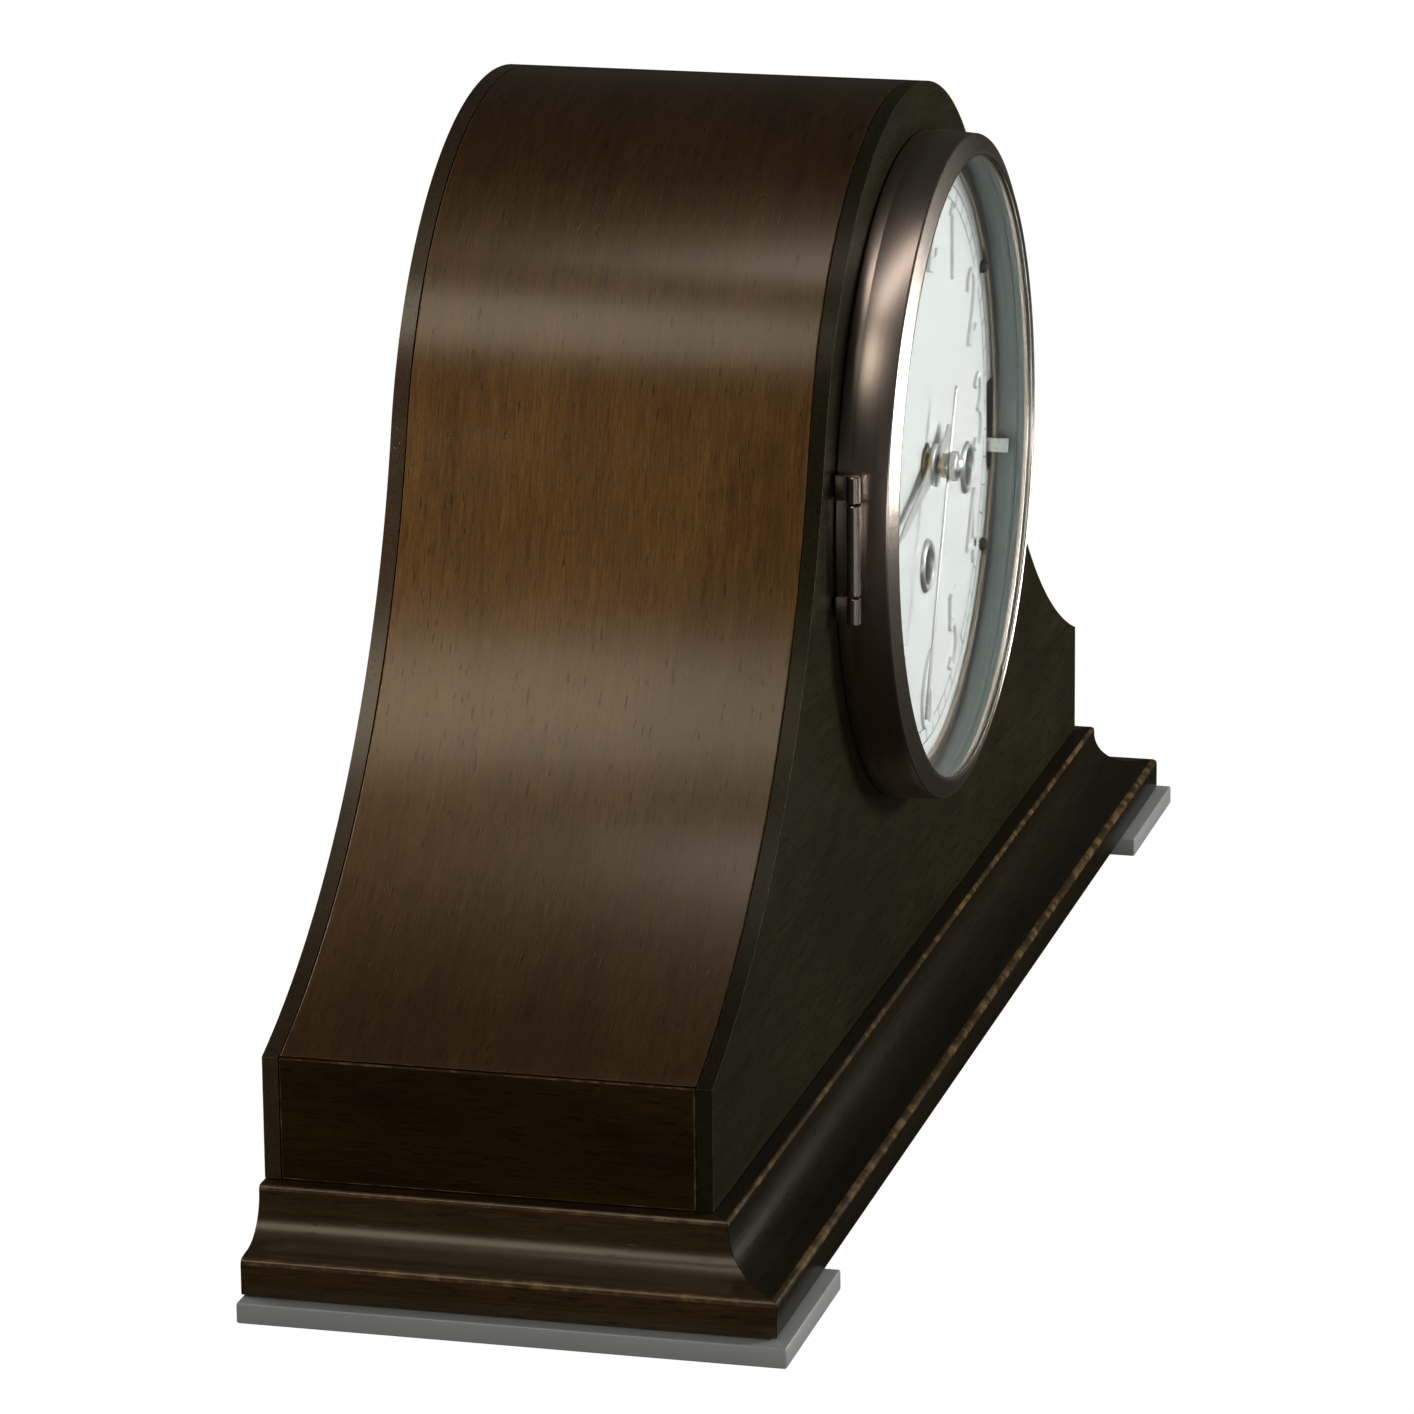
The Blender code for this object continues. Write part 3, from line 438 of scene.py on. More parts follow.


# The bent sheet gets painted shade over the crown and towards the shoulders.
WOOD_SHEET = stained_wood(
    "espresso_bent_sheet", 1, (0.098, 0.046, 0.0105), uv="bend", shade=toner_on_the_bend)
WOOD_PANEL = stained_wood(
    "espresso_panel", 0, (0.0145, 0.0130, 0.0050), shift=(0.3, 0.1, 0.7), coat=0.03, gloss=0.18)
WOOD_BACK = stained_wood("espresso_back_panel", 0, (0.032, 0.019, 0.0085), shift=(0.9, 0.4, 0.2))
# The end blocks' stain is several times darker than the bent sheet's: the block's own tone plus painted shade
# low on the case.
END_WOOD_PAINTED_SHADE = stained_wood(
    "espresso_end_block", 1, (0.0190, 0.0096, 0.0018), shift=(0.1, 0.5, 0.9), coat=0.1, gloss=0.22)
WOOD_SIDE_MOULD = stained_wood("espresso_side_moulding", 1, (0.028, 0.0155, 0.0050), shift=(0.7, 0.8, 0.3))
WOOD_FRONT_MOULD = stained_wood(
    "espresso_front_moulding", 0, (0.0070, 0.0052, 0.0016), shift=(0.5, 0.2, 0.6), coat=0.06, gloss=0.22)
WOOD_DOOR = stained_wood("espresso_back_door", 2, (0.034, 0.020, 0.0088), shift=(0.2, 0.9, 0.1))
WOOD_BASE = stained_wood("stained_base_board", 0, (0.060, 0.036, 0.018), shift=(0.6, 0.6, 0.6), coat=0.05)
BRONZED_NICKEL = brushed_metal(
    "bronzed_nickel_hoop", (0.43, 0.355, 0.305), 0.30, "round", (0.85, 0.76, 0.70), 0.05, 0.12, 0.05)
# The inner wall's bluish slate colour is painted reflection of the white dial and the bluish surroundings.
REFLECTION_TINTED_LINING = brushed_metal(
    "slate_satin_lining", (0.225, 0.255, 0.25), 0.42, "round", (0.9, 0.95, 0.95), bump=0.2)
NICKEL_RIM = brushed_metal(
    "nickel_rim", (0.66, 0.58, 0.50), 0.22, tint=(0.85, 0.80, 0.74), spread=0.07, bump=0.35)
HINGE_NICKEL = brushed_metal("hinge_nickel", (0.40, 0.35, 0.32), 0.28, lines="z", tint=(0.8, 0.75, 0.7))
POLISHED = brushed_metal("polished_nickel", (0.76, 0.75, 0.73), 0.33, spread=0.05, bump=0.06)
HAND_NICKEL = brushed_metal("hand_nickel", (0.50, 0.485, 0.46), 0.30, bump=0.15)
HAND_GREY = satin_paint("hand_grey", (0.47, 0.465, 0.45), 0.38)
GUNMETAL = satin_paint("satin_gunmetal", (0.33, 0.34, 0.33), 0.42, grain=3400.0, bump=0.16, metal=0.2)
DIAL_WHITE = satin_paint("dial_white", (0.745, 0.75, 0.735), 0.42, bump=0.05)
PRINT_GREY = satin_paint("print_grey", (0.085, 0.09, 0.09), 0.5)
BLACK_STEEL = satin_paint("black_screw", (0.012, 0.013, 0.013), 0.22, bump=0.08)
GLASS = clear_glass("bezel_pane")
BRASS = brushed_metal("movement_brass", (0.66, 0.47, 0.20), 0.24, lines="x", tint=(0.9, 0.85, 0.7), bump=0.2)
OLD_BRASS = brushed_metal("hand_brass", (0.50, 0.40, 0.24), 0.28, bump=0.12)
STEEL = brushed_metal("turned_steel", (0.46, 0.46, 0.47), 0.25, bump=0.12)
IRON = satin_paint("cast_iron_paint", (0.022, 0.022, 0.023), 0.55, grain=1500.0, bump=0.35)


# ---------------------------------------------------------------- case


def flare_circle():
    """Centre distance and radius of the concave flare tangent to the crown."""
    drop = DIAL_Z - SHOULDER
    top = HALF ** 2 + drop ** 2 - CROWN ** 2
    span = top / (2.0 * (HALF * math.sin(FLARE_ANGLE) - drop * math.cos(FLARE_ANGLE) - CROWN))
    return span, span - CROWN


def half_outline(inset, end_z, arc_steps, flare_steps):
    span, radius = flare_circle()
    points = []
    for i in range(arc_steps + 1):
        angle = FLARE_ANGLE * i / arc_steps
        reach = CROWN - inset
        points.append((-reach * math.sin(angle), DIAL_Z + reach * math.cos(angle)))
    cx = -span * math.sin(FLARE_ANGLE)
    cz = DIAL_Z + span * math.cos(FLARE_ANGLE)
    reach = radius + inset
    last = math.acos((cz - end_z) / reach)
    for i in range(1, flare_steps + 1):
        angle = FLARE_ANGLE + (last - FLARE_ANGLE) * i / flare_steps
        points.append((cx + reach * math.sin(angle), cz - reach * math.cos(angle)))
    return points


def full_outline(inset, end_z, arc_steps=44, flare_steps=40):
    left = half_outline(inset, end_z, arc_steps, flare_steps)
    return list(reversed(left)) + [(-x, z) for x, z in left[1:]]


def body_outline():
    top = full_outline(0.0, SHOULDER)
    top[0] = (-HALF, SHOULDER)
    top[-1] = (HALF, SHOULDER)
    return [(-HALF, PANEL_LOW.z)] + top + [(HALF, PANEL_LOW.z)]


def arched(half, low, steps=60):
    turns = [math.pi - math.pi * i / steps for i in range(steps + 1)]
    arc = [(half * math.cos(turn), DIAL_Z + half * math.sin(turn)) for turn in turns]
    return [(-half, low)] + arc + [(half, low)]


def build_panels():
    thick = PANEL_HIGH.y - PANEL_LOW.y
    work = outline_solid([body_outline(), circle(DIAL_OPENING, 160, 0.0, DIAL_Z)], thick)
    soften(work, 0.55 * MM)
    face_forward(work, PANEL_HIGH.y)
    keep("front_board", work, 15.0, WOOD_PANEL, "case", "dark_wood", "front_panel")
    door_low, door_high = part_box("rear_door")
    work = outline_solid([body_outline(), arched(DIAL_OPENING, door_low.z - 0.6 * MM)], thick)
    soften(work, 0.55 * MM)
    face_forward(work, BACK_HIGH.y)
    keep("back_board", work, 15.0, WOOD_BACK, "case", "dark_wood", "back_panel")
    finger = circle(8.0 * MM, 48, 66.0 * MM, DIAL_Z - 40.0 * MM)
    work = outline_solid([arched(door_high.x, door_low.z), finger], door_high.y - door_low.y)
    soften(work, 0.5 * MM)
    face_forward(work, door_high.y)
    keep("back_door_leaf", work, 15.0, WOOD_DOOR, "back_door", "dark_wood", "rear_door")


def build_sheet():
    """The bent sheet, with grain and UVs that follow the bend."""
    outer = full_outline(0.0, SHEET_LOW.z)
    inner = full_outline(SHEET, SHEET_LOW.z)
    work = bmesh.new()
    near, far = SHEET_LOW.y, SHEET_HIGH.y
    travel = [0.0]
    for a, b in zip(outer, outer[1:]):
        travel.append(travel[-1] + math.dist(a, b))
    rows = []
    for (ox, oz), (ix, iz) in zip(outer, inner):
        spots = ((ox, near, oz), (ox, far, oz), (ix, far, iz), (ix, near, iz))
        rows.append([work.verts.new(s) for s in spots])
    for a, b in zip(rows, rows[1:]):
        for k in range(4):
            m = (k + 1) % 4
            work.faces.new((a[k], b[k], b[m], a[m]))
    work.faces.new(rows[0])
    work.faces.new(reversed(rows[-1]))
    bmesh.ops.recalc_face_normals(work, faces=work.faces)
    soften(work, 0.35 * MM, 50.0)
    uv = work.loops.layers.uv.new("bend")
    for face in work.faces:
        for loop in face.loops:
            x, y, z = loop.vert.co
            best = min(range(len(outer)), key=lambda i: (outer[i][0] - x) ** 2 + (outer[i][1] - z) ** 2)
            px, pz = outer[best]
            step = 1 if best < len(outer) - 1 else -1
            qx, qz = outer[best + step]
            length = math.dist((px, pz), (qx, qz))
            slide = ((x - px) * (qx - px) + (z - pz) * (qz - pz)) / length
            depth = abs((x - px) * (qz - pz) - (z - pz) * (qx - px)) / length
            loop[uv].uv = (y + depth, travel[best] + step * slide)
    keep("bent_top_sheet", work, 22.0, WOOD_SHEET, "case", "dark_wood", "curved_shell")


def build_end_blocks():
    for side in ("left", "right"):
        low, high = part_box(side + "_end_block")
        work = soften(block(low, high), 0.45 * MM)
        keep(side + "_end_wood", work, 15.0, END_WOOD_PAINTED_SHADE, "case", "dark_wood", side + "_end_block")


def moulding_section():
    """(outward, height, worn) points of the cove moulding, from under the body outwards."""
    foot = SIDE_LOW.z
    top = SIDE_HIGH.z
    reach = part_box("right_moulding")[1].x - HALF
    ledge = 5.5 * MM
    inside = -14.0 * MM
    ease = 1.3 * MM
    nose = 1.7 * MM

    def corner(x, z, radius, first):
        for i in range(first, 6):
            turn = math.radians(90.0 - 18.0 * i)
            yield x + radius * math.cos(turn), z + radius * math.sin(turn), 1

    points = [(inside, foot, 0), (inside, top, 0), (ledge - ease, top, 0)]
    points += corner(ledge - ease, top - ease, ease, 1)
    centre = (18.5 * MM, 30.0 * MM)
    for i in range(25):
        turn = math.radians(180.0 + 90.0 * i / 24.0)
        points.append((centre[0] + 13.0 * MM * math.cos(turn), centre[1] + 12.7 * MM * math.sin(turn), 0))
    points.append((reach - 2.2 * MM, 17.0 * MM, 0))
    points += corner(reach - nose, 15.2 * MM, nose, 0)
    points.append((reach, foot + 0.8 * MM, 0))
    points.append((reach - 0.25 * MM, foot + 0.25 * MM, 1))
    points.append((reach - 0.8 * MM, foot, 0))
    return points


def sweep(section, start, end, pieces=24):
    """Loft the section between two placings; faces keep the worn mark."""
    work = bmesh.new()
    layer = wear_layer(work)
    rows = []
    for k in range(pieces + 1):
        share = k / pieces
        rows.append([work.verts.new(start(o, h).lerp(end(o, h), share)) for o, h, w in section])
    count = len(section)
    for a, b in zip(rows, rows[1:]):
        for i in range(count):
            j = (i + 1) % count
            face = work.faces.new((a[i], a[j], b[j], b[i]))
            face[layer] = 1.0 if section[i][2] and section[j][2] else 0.0
    work.faces.new(rows[0])
    work.faces.new(reversed(rows[-1]))
    bmesh.ops.recalc_face_normals(work, faces=work.faces)
    return work


def build_mouldings():
    section = moulding_section()
    gap = 0.12 * MM
    back = SIDE_HIGH.y

    def front(sign):
        return lambda o, h: Vector((sign * (HALF + o - gap), FRONT - o, h))

    work = sweep(section, front(-1.0), front(1.0), 60)
    keep("front_cove", work, 25.0, WOOD_FRONT_MOULD, "case", "dark_wood", "front_moulding")
    for side, sign in (("left", -1.0), ("right", 1.0)):
        def rear(o, h, s=sign):
            return Vector((s * (HALF + o), back, h))

        def mitre(o, h, s=sign):
            return Vector((s * (HALF + o), FRONT - o + gap, h))

        work = sweep(section, mitre, rear, 20)
        keep(side + "_cove", work, 25.0, WOOD_SIDE_MOULD, "case", "dark_wood", side + "_moulding")
    low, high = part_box("base_board")
    work = soften(block(low, high), 0.6 * MM)
    keep("base_plank", work, 15.0, WOOD_BASE, "case", "plain_wood", "base_board")


def build_feet():
    for side in ("left", "right"):
        low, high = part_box(side + "_foot_plate")
        work = soften(block(low, high), 0.7 * MM, segments=3)
        keep(side + "_foot", work, 15.0, GUNMETAL, "case", "gunmetal", side + "_foot_plate")


# ---------------------------------------------------------------- bezel


def cylinder_z(radius, low, high, x, y, steps=40, edge=0.25 * MM):
    profile = [
        (0.0, high), (radius - edge, high), (radius, high - edge), (radius, low + edge), (radius - edge, low),
        (0.0, low)]
    return lathe(profile, steps, (x, y, 0.0), axis="Z", closed=False)


def build_bezel():
    centre = DIAL_AXIS
    ring = [(98.5, 4.9), (98.5, 0.3), (92.5, 0.3), (92.5, 3.6), (89.6, 3.6), (89.6, 4.9)]
    parts = [turned(ring, RIM_STEPS, centre, 0.35)]
    seat = FRONT - 0.8 * MM
    for low in KNUCKLE_FEET:
        foot = DIAL_Z + low + 0.2 * MM
        head = DIAL_Z + low + 7.6 * MM
        arm = block((-100.6 * MM, HINGE.y, foot), (-99.4 * MM, seat, head))
        leaf = block((-99.6 * MM, FRONT - 2.4 * MM, foot), (-96.2 * MM, seat, head))
        parts.append(soften(arm, 0.2 * MM))
        parts.append(soften(leaf, 0.2 * MM))
    keep("bezel_ring", merged(*parts), 30.0, BRONZED_NICKEL, "case", "nickel", "bezel_back_ring")
    knuckles = []
    for low in KNUCKLE_FEET:
        knuckles.append(cylinder_z(2.0 * MM, DIAL_Z + low, DIAL_Z + low + 7.8 * MM, HINGE.x, HINGE.y))
    keep("bezel_hinge_knuckles", merged(*knuckles), 30.0, HINGE_NICKEL, "case", "nickel", "bezel_hinge_pin")

    ahead = (HOOP_HIGH.y - HOOP_LOW.y) / MM
    tip = (FRONT - HOOP_LOW.y) / MM
    rear = tip - ahead
    band = [
        (97.9, tip - 2.3), (98.25, tip - 2.7), (99.0, rear), (93.8, rear), (93.8, tip - 1.3),
        (94.4, tip - 1.2)]
    rim = [(98.05, tip - 2.3), (97.7, tip - 2.2), (93.1, tip - 0.35), (92.3, tip - 0.3), (91.8, tip - 0.7),
           (91.8, tip - 1.15), (93.7, tip - 1.25), (94.5, tip - 1.2)]
    body = turned(band, RIM_STEPS, centre, 0.08, 2)
    # The lining is a piece of its own inside the hoop; its bluish slate colour is painted reflection.
    liner = [
        (93.75, rear + 0.4), (93.35, rear + 0.4), (93.35, rear + 6.4), (93.5, rear + 6.55),
        (93.35, rear + 6.7), (93.35, tip - 2.9), (93.75, tip - 2.9)]
    work = turned(liner, RIM_STEPS, centre)
    keep("bezel_inner_wall", work, 20.0, REFLECTION_TINTED_LINING, "bezel_door", "nickel")
    barrel = cylinder_z(2.0 * MM, DIAL_Z - 13.2 * MM, DIAL_Z + 13.2 * MM, HINGE.x, HINGE.y)
    leaf = soften(block((HINGE.x, HINGE.y - 1.3 * MM, DIAL_Z - 12.8 * MM),
                        (-97.4 * MM, HINGE.y + 0.6 * MM, DIAL_Z + 12.8 * MM)), 0.2 * MM)
    keep("bezel_band", merged(body, leaf), 30.0, BRONZED_NICKEL, "bezel_door", "nickel", "bezel_hoop")
    keep("bezel_barrel", barrel, 30.0, HINGE_NICKEL, "bezel_door", "nickel")
    keep("bezel_rim", turned(rim, RIM_STEPS, centre, 0.12, 3), 30.0, NICKEL_RIM, "bezel_door", "nickel")

    glass_low, glass_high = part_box("bezel_glass")
    front = (FRONT - glass_low.y) / MM
    back = (FRONT - glass_high.y) / MM
    radius = glass_high.x / MM
    pane = [
        (0.0, front), (radius - 0.3, front), (radius, front - 0.3), (radius, back + 0.3),
        (radius - 0.3, back), (0.0, back)]
    work = turned(pane, 192, centre, closed=False)
    keep("bezel_pane", work, 30.0, GLASS, "bezel_door", "glass", "bezel_glass")
    low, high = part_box("glass_retainer")
    outer = high.x / MM
    near = (FRONT - high.y) / MM
    far = (FRONT - low.y) / MM
    section = [(outer, far), (outer, near), (outer - 1.6, near), (outer - 1.6, far)]
    work = turned(section, 192, centre, 0.4)
    keep("bezel_bead", work, 30.0, NICKEL_RIM, "bezel_door", "nickel", "glass_retainer")


# ---------------------------------------------------------------- dial


NOTCH_EDGE = 83.6 * MM
NOTCH_LOW = -22.5 * MM
NOTCH_HIGH = 5.5 * MM
TRACK_OUTSIDE = 85.0 * MM
WINDING_HOLE = 7.2 * MM
SCREW_CIRCLE = 87.0 * MM
SCREW_HOURS = (2, 4, 8, 10)
NUMERAL_HEIGHT = 23.0 * MM
NUMERAL_REACH = (70.0 * MM, 69.0 * MM)


def dial_loop(steps=220):
    """Round dial outline with the notch for the selector's tab on the right."""
    radius = DIAL_HIGH.z - DIAL_Z
    a = math.asin(NOTCH_HIGH / radius)
    b = math.asin(NOTCH_LOW / radius)
    points = []
    for i in range(steps + 1):
        turn = a + (2.0 * math.pi - (a - b)) * i / steps
        points.append((radius * math.cos(turn), radius * math.sin(turn)))
    return points + [(NOTCH_EDGE, NOTCH_LOW), (NOTCH_EDGE, NOTCH_HIGH)]


WINDERS = {"chime": (54.0, -14.0), "time": (0.0, -31.0), "strike": (-54.0, -14.0)}

# Each digit is strokes of (x, y, width) in hundredths of its height, thick and thin like pen strokes.
DIGITS = {
    "0": [
        [(30, 98, 3), (10, 80, 10), (5, 50, 13), (10, 20, 10), (30, 2, 3)],
        [(30, 98, 3), (50, 80, 10), (55, 50, 13), (50, 20, 10), (30, 2, 3)]],
    "1": [
        [(14, 90, 3), (24, 95, 5), (30, 100, 6)],
        [(30, 100, 7), (30, 55, 8.5), (30, 2, 10)]],
    "2": [
        [(9, 74, 10), (13, 90, 6), (29, 99, 5), (46, 88, 9), (49, 72, 12), (40, 50, 9), (22, 25, 5),
         (7, 5, 3)],
        [(6, 5.5, 5), (20, 7.5, 12), (38, 5, 13), (50, 10, 8), (56, 22, 3)]],
    "3": [
        [(10, 86, 8), (20, 97, 5), (34, 98, 6), (45, 86, 10), (46, 72, 11), (36, 58, 6), (24, 53, 3)],
        [(24, 53, 3), (42, 48, 7), (52, 32, 12), (46, 12, 10), (30, 1, 5), (14, 3, 6), (6, 12, 11)]],
    "4": [
        [(42, 100, 5), (24, 66, 4.5), (3, 27, 5)],
        [(2, 26, 5), (30, 26, 9), (60, 28, 10)],
        [(43, 100, 8), (43, 50, 10), (43, 0, 9)]],
    "5": [
        [(14, 98, 5), (30, 95, 11), (50, 100, 9)],
        [(14, 98, 6), (13, 75, 5), (12, 54, 4)],
        [(12, 54, 3), (28, 61, 6), (46, 52, 11), (53, 32, 13), (45, 11, 10), (28, 1, 5), (14, 3, 6),
         (6, 12, 11)]],
    "6": [
        [(50, 97, 3), (30, 86, 6), (12, 60, 10), (6, 34, 13), (12, 12, 11), (30, 1, 5), (47, 10, 10),
         (53, 30, 12), (45, 50, 8), (30, 57, 5), (16, 48, 4), (9, 36, 3)]],
    "7": [
        [(5, 84, 3), (10, 94, 11), (30, 96, 12), (55, 98, 7)],
        [(55, 97, 4), (40, 66, 6), (28, 32, 10), (24, 0, 13)]],
    "8": [
        [(30, 99, 4), (13, 90, 8), (12, 73, 9), (30, 55, 10), (48, 38, 10), (50, 14, 9), (30, 1, 4)],
        [(30, 99, 4), (47, 90, 7), (48, 73, 6), (30, 55, 4), (11, 38, 8), (9, 14, 10), (30, 1, 4)]],
    "9": [
        [(10, 3, 3), (30, 14, 6), (48, 40, 10), (54, 66, 13), (48, 88, 11), (30, 99, 5), (13, 90, 10),
         (7, 70, 12), (15, 50, 8), (30, 43, 5), (44, 52, 4), (51, 64, 3)]],
}


def smooth_stroke(points, steps=7):
    """Catmull-Rom through (x, y, width) points."""
    ends = [tuple(2 * a - b for a, b in zip(points[0], points[1]))]
    ends += points
    ends.append(tuple(2 * a - b for a, b in zip(points[-1], points[-2])))
    out = []
    for p0, p1, p2, p3 in zip(ends, ends[1:], ends[2:], ends[3:]):
        for k in range(steps):
            t = k / steps
            out.append(tuple(
                0.5 * (2 * b + (c - a) * t + (2 * a - 5 * b + 4 * c - d) * t * t
                       + (3 * b - a - 3 * c + d) * t ** 3)
                for a, b, c, d in zip(p0, p1, p2, p3)))
    out.append(points[-1])
    return out


def raised_stroke(points, left, foot, high, relief, y):
    """One embossed pen stroke with sloping shoulders."""
    work = bmesh.new()
    line = smooth_stroke([tuple(value / 100.0 for value in point) for point in points])
    rows = []
    for i, (x, h, w) in enumerate(line):
        ax, ah, _ = line[max(0, i - 1)]
        bx, bh, _ = line[min(len(line) - 1, i + 1)]
        run = Vector((bx - ax, bh - ah)).normalized()
        side = Vector((-run.y, run.x))
        half = (1.35 * w + 0.02) * high / 2.0
        mid = Vector((left + x * high, foot + h * high))
        row = []
        slope = min(0.28 * MM, half * 0.4)
        for reach, lift in ((half, -0.1 * MM), (half - slope * 0.5, relief * 0.85), (half - slope, relief),
                            (slope - half, relief), (slope * 0.5 - half, relief * 0.85), (-half, -0.1 * MM)):
            spot = mid + side * reach
            row.append(work.verts.new((spot.x, y - lift, spot.y)))
        rows.append(row)
    for a, b in zip(rows, rows[1:]):
        for k in range(6):
            m = (k + 1) % 6
            work.faces.new((a[k], a[m], b[m], b[k]))
    work.faces.new(rows[0])
    work.faces.new(reversed(rows[-1]))
    bmesh.ops.recalc_face_normals(work, faces=work.faces)
    return work


def build_numerals():
    strokes = []
    high = NUMERAL_HEIGHT
    for hour in range(1, 13):
        turn = math.radians(90.0 - 30.0 * hour)
        cx = NUMERAL_REACH[0] * math.cos(turn)
        cz = DIAL_Z + NUMERAL_REACH[1] * math.sin(turn)
        text = str(hour)
        step = 0.60 if len(text) == 1 else 0.52
        width = step * len(text)
        if text == "11":
            width = 0.9
            step = 0.34
        for k, digit in enumerate(text):
            left = cx + (k * step - width / 2.0) * high
            for stroke in DIGITS[digit]:
                strokes.append(raised_stroke(stroke, left, cz - high / 2.0, high, 0.95 * MM, DIAL_FACE))
    keep("raised_numerals", merged(*strokes), 35.0, DIAL_WHITE, "case", "white_dial")


class PieceTree(NodeWork):
    """A Geometry Nodes tree with a count, some lengths and a paint, ending in plain painted geometry."""

    def __init__(self, name, count, *lengths):
        super().__init__(bpy.data.node_groups.new(name, "GeometryNodeTree"))
        kinds = [("Geometry", "Geometry"), (count, "Int")]
        kinds += [(label, "Float") for label in lengths] + [("Paint", "Material")]
        for label, kind in kinds:
            self.tree.interface.new_socket(label, in_out="INPUT", socket_type="NodeSocket" + kind)
        self.tree.interface.new_socket("Geometry", in_out="OUTPUT", socket_type="NodeSocketGeometry")
        self.given = self.node("NodeGroupInput").outputs

    def done(self, geometry):
        real = self.node("GeometryNodeRealizeInstances", {0: geometry}).outputs[0]
        coat = self.node("GeometryNodeSetMaterial", {"Geometry": real, "Material": self.given["Paint"]})
        self.node("NodeGroupOutput", {0: coat.outputs[0]})
        return self.tree


def minute_track_tree():
    """Geometry Nodes: ticks round a circle between two thin rings."""
    work = PieceTree(
        "minute_track", "Ticks", "Inner radius", "Outer radius", "Tick width", "Line width", "Thickness")
    inner = work.given["Inner radius"]
    outer = work.given["Outer radius"]
    thick = work.given["Thickness"]
    middle = work.maths("MULTIPLY", work.maths("ADD", inner, outer), 0.5)
    around = work.node("GeometryNodeMeshCircle", {"Vertices": work.given["Ticks"], "Radius": middle})
    size = work.node("ShaderNodeCombineXYZ", {
        "X": work.maths("SUBTRACT", outer, inner), "Y": work.given["Tick width"], "Z": thick})
    tick = work.node("GeometryNodeMeshCube", {"Size": size.outputs[0]})
    where = work.node("GeometryNodeInputPosition").outputs[0]
    aim = work.node("FunctionNodeAlignRotationToVector", {"Vector": where}, axis="X").outputs[0]
    spread = work.node("GeometryNodeInstanceOnPoints", {
        "Points": around.outputs["Mesh"], "Instance": tick.outputs["Mesh"], "Rotation": aim})
    joined = work.node("GeometryNodeJoinGeometry", {0: spread.outputs["Instances"]})
    for radius in (inner, outer):
        path = work.node("GeometryNodeCurvePrimitiveCircle", {"Resolution": 240, "Radius": radius})
        strip = work.node("GeometryNodeCurvePrimitiveQuadrilateral", {
            "Width": work.given["Line width"], "Height": thick})
        tube = work.node("GeometryNodeCurveToMesh", {
            "Curve": path.outputs["Curve"], "Profile Curve": strip.outputs["Curve"]})
        work.feed(joined.inputs[0], tube.outputs["Mesh"])
    return work.done(joined.outputs[0])


def grown(name, tree, inputs, base):
    """Run a node tree and return its plain mesh as a bmesh on the dial axis, facing forward."""
    holder = bpy.data.objects.new(name, bpy.data.meshes.new(name + "_seed"))
    bpy.context.scene.collection.objects.link(holder)
    modifier = holder.modifiers.new("Nodes", "NODES")
    modifier.node_group = tree
    for item in tree.interface.items_tree:
        if item.item_type == "SOCKET" and item.in_out == "INPUT" and item.name in inputs:
            modifier[item.identifier] = inputs[item.name]
    holder.update_tag()
    graph = bpy.context.evaluated_depsgraph_get()
    graph.update()
    result = bpy.data.meshes.new_from_object(holder.evaluated_get(graph))
    bpy.data.objects.remove(holder)
    result.transform(Matrix.Translation((0.0, base, DIAL_Z)) @ Matrix.Rotation(math.pi / 2.0, 4, "X"))
    work = bmesh.new()
    work.from_mesh(result)
    return work


def build_track():
    inputs = {
        "Ticks": 60, "Inner radius": 80.3 * MM, "Outer radius": TRACK_OUTSIDE, "Tick width": 0.42 * MM,
        "Line width": 0.40 * MM, "Thickness": 0.10 * MM, "Paint": PRINT_GREY}
    work = grown("minute_track", minute_track_tree(), inputs, DIAL_FACE)
    edge = NOTCH_EDGE - 0.4 * MM
    for vert in work.verts:
        if vert.co.x > edge and NOTCH_LOW - 0.5 * MM < vert.co.z - DIAL_Z < NOTCH_HIGH + 0.5 * MM:
            vert.co.x = edge + 0.1 * (vert.co.x - edge)
    bmesh.ops.recalc_face_normals(work, faces=work.faces)
    keep("minute_track", work, 30.0, PRINT_GREY, "case", "white_dial")


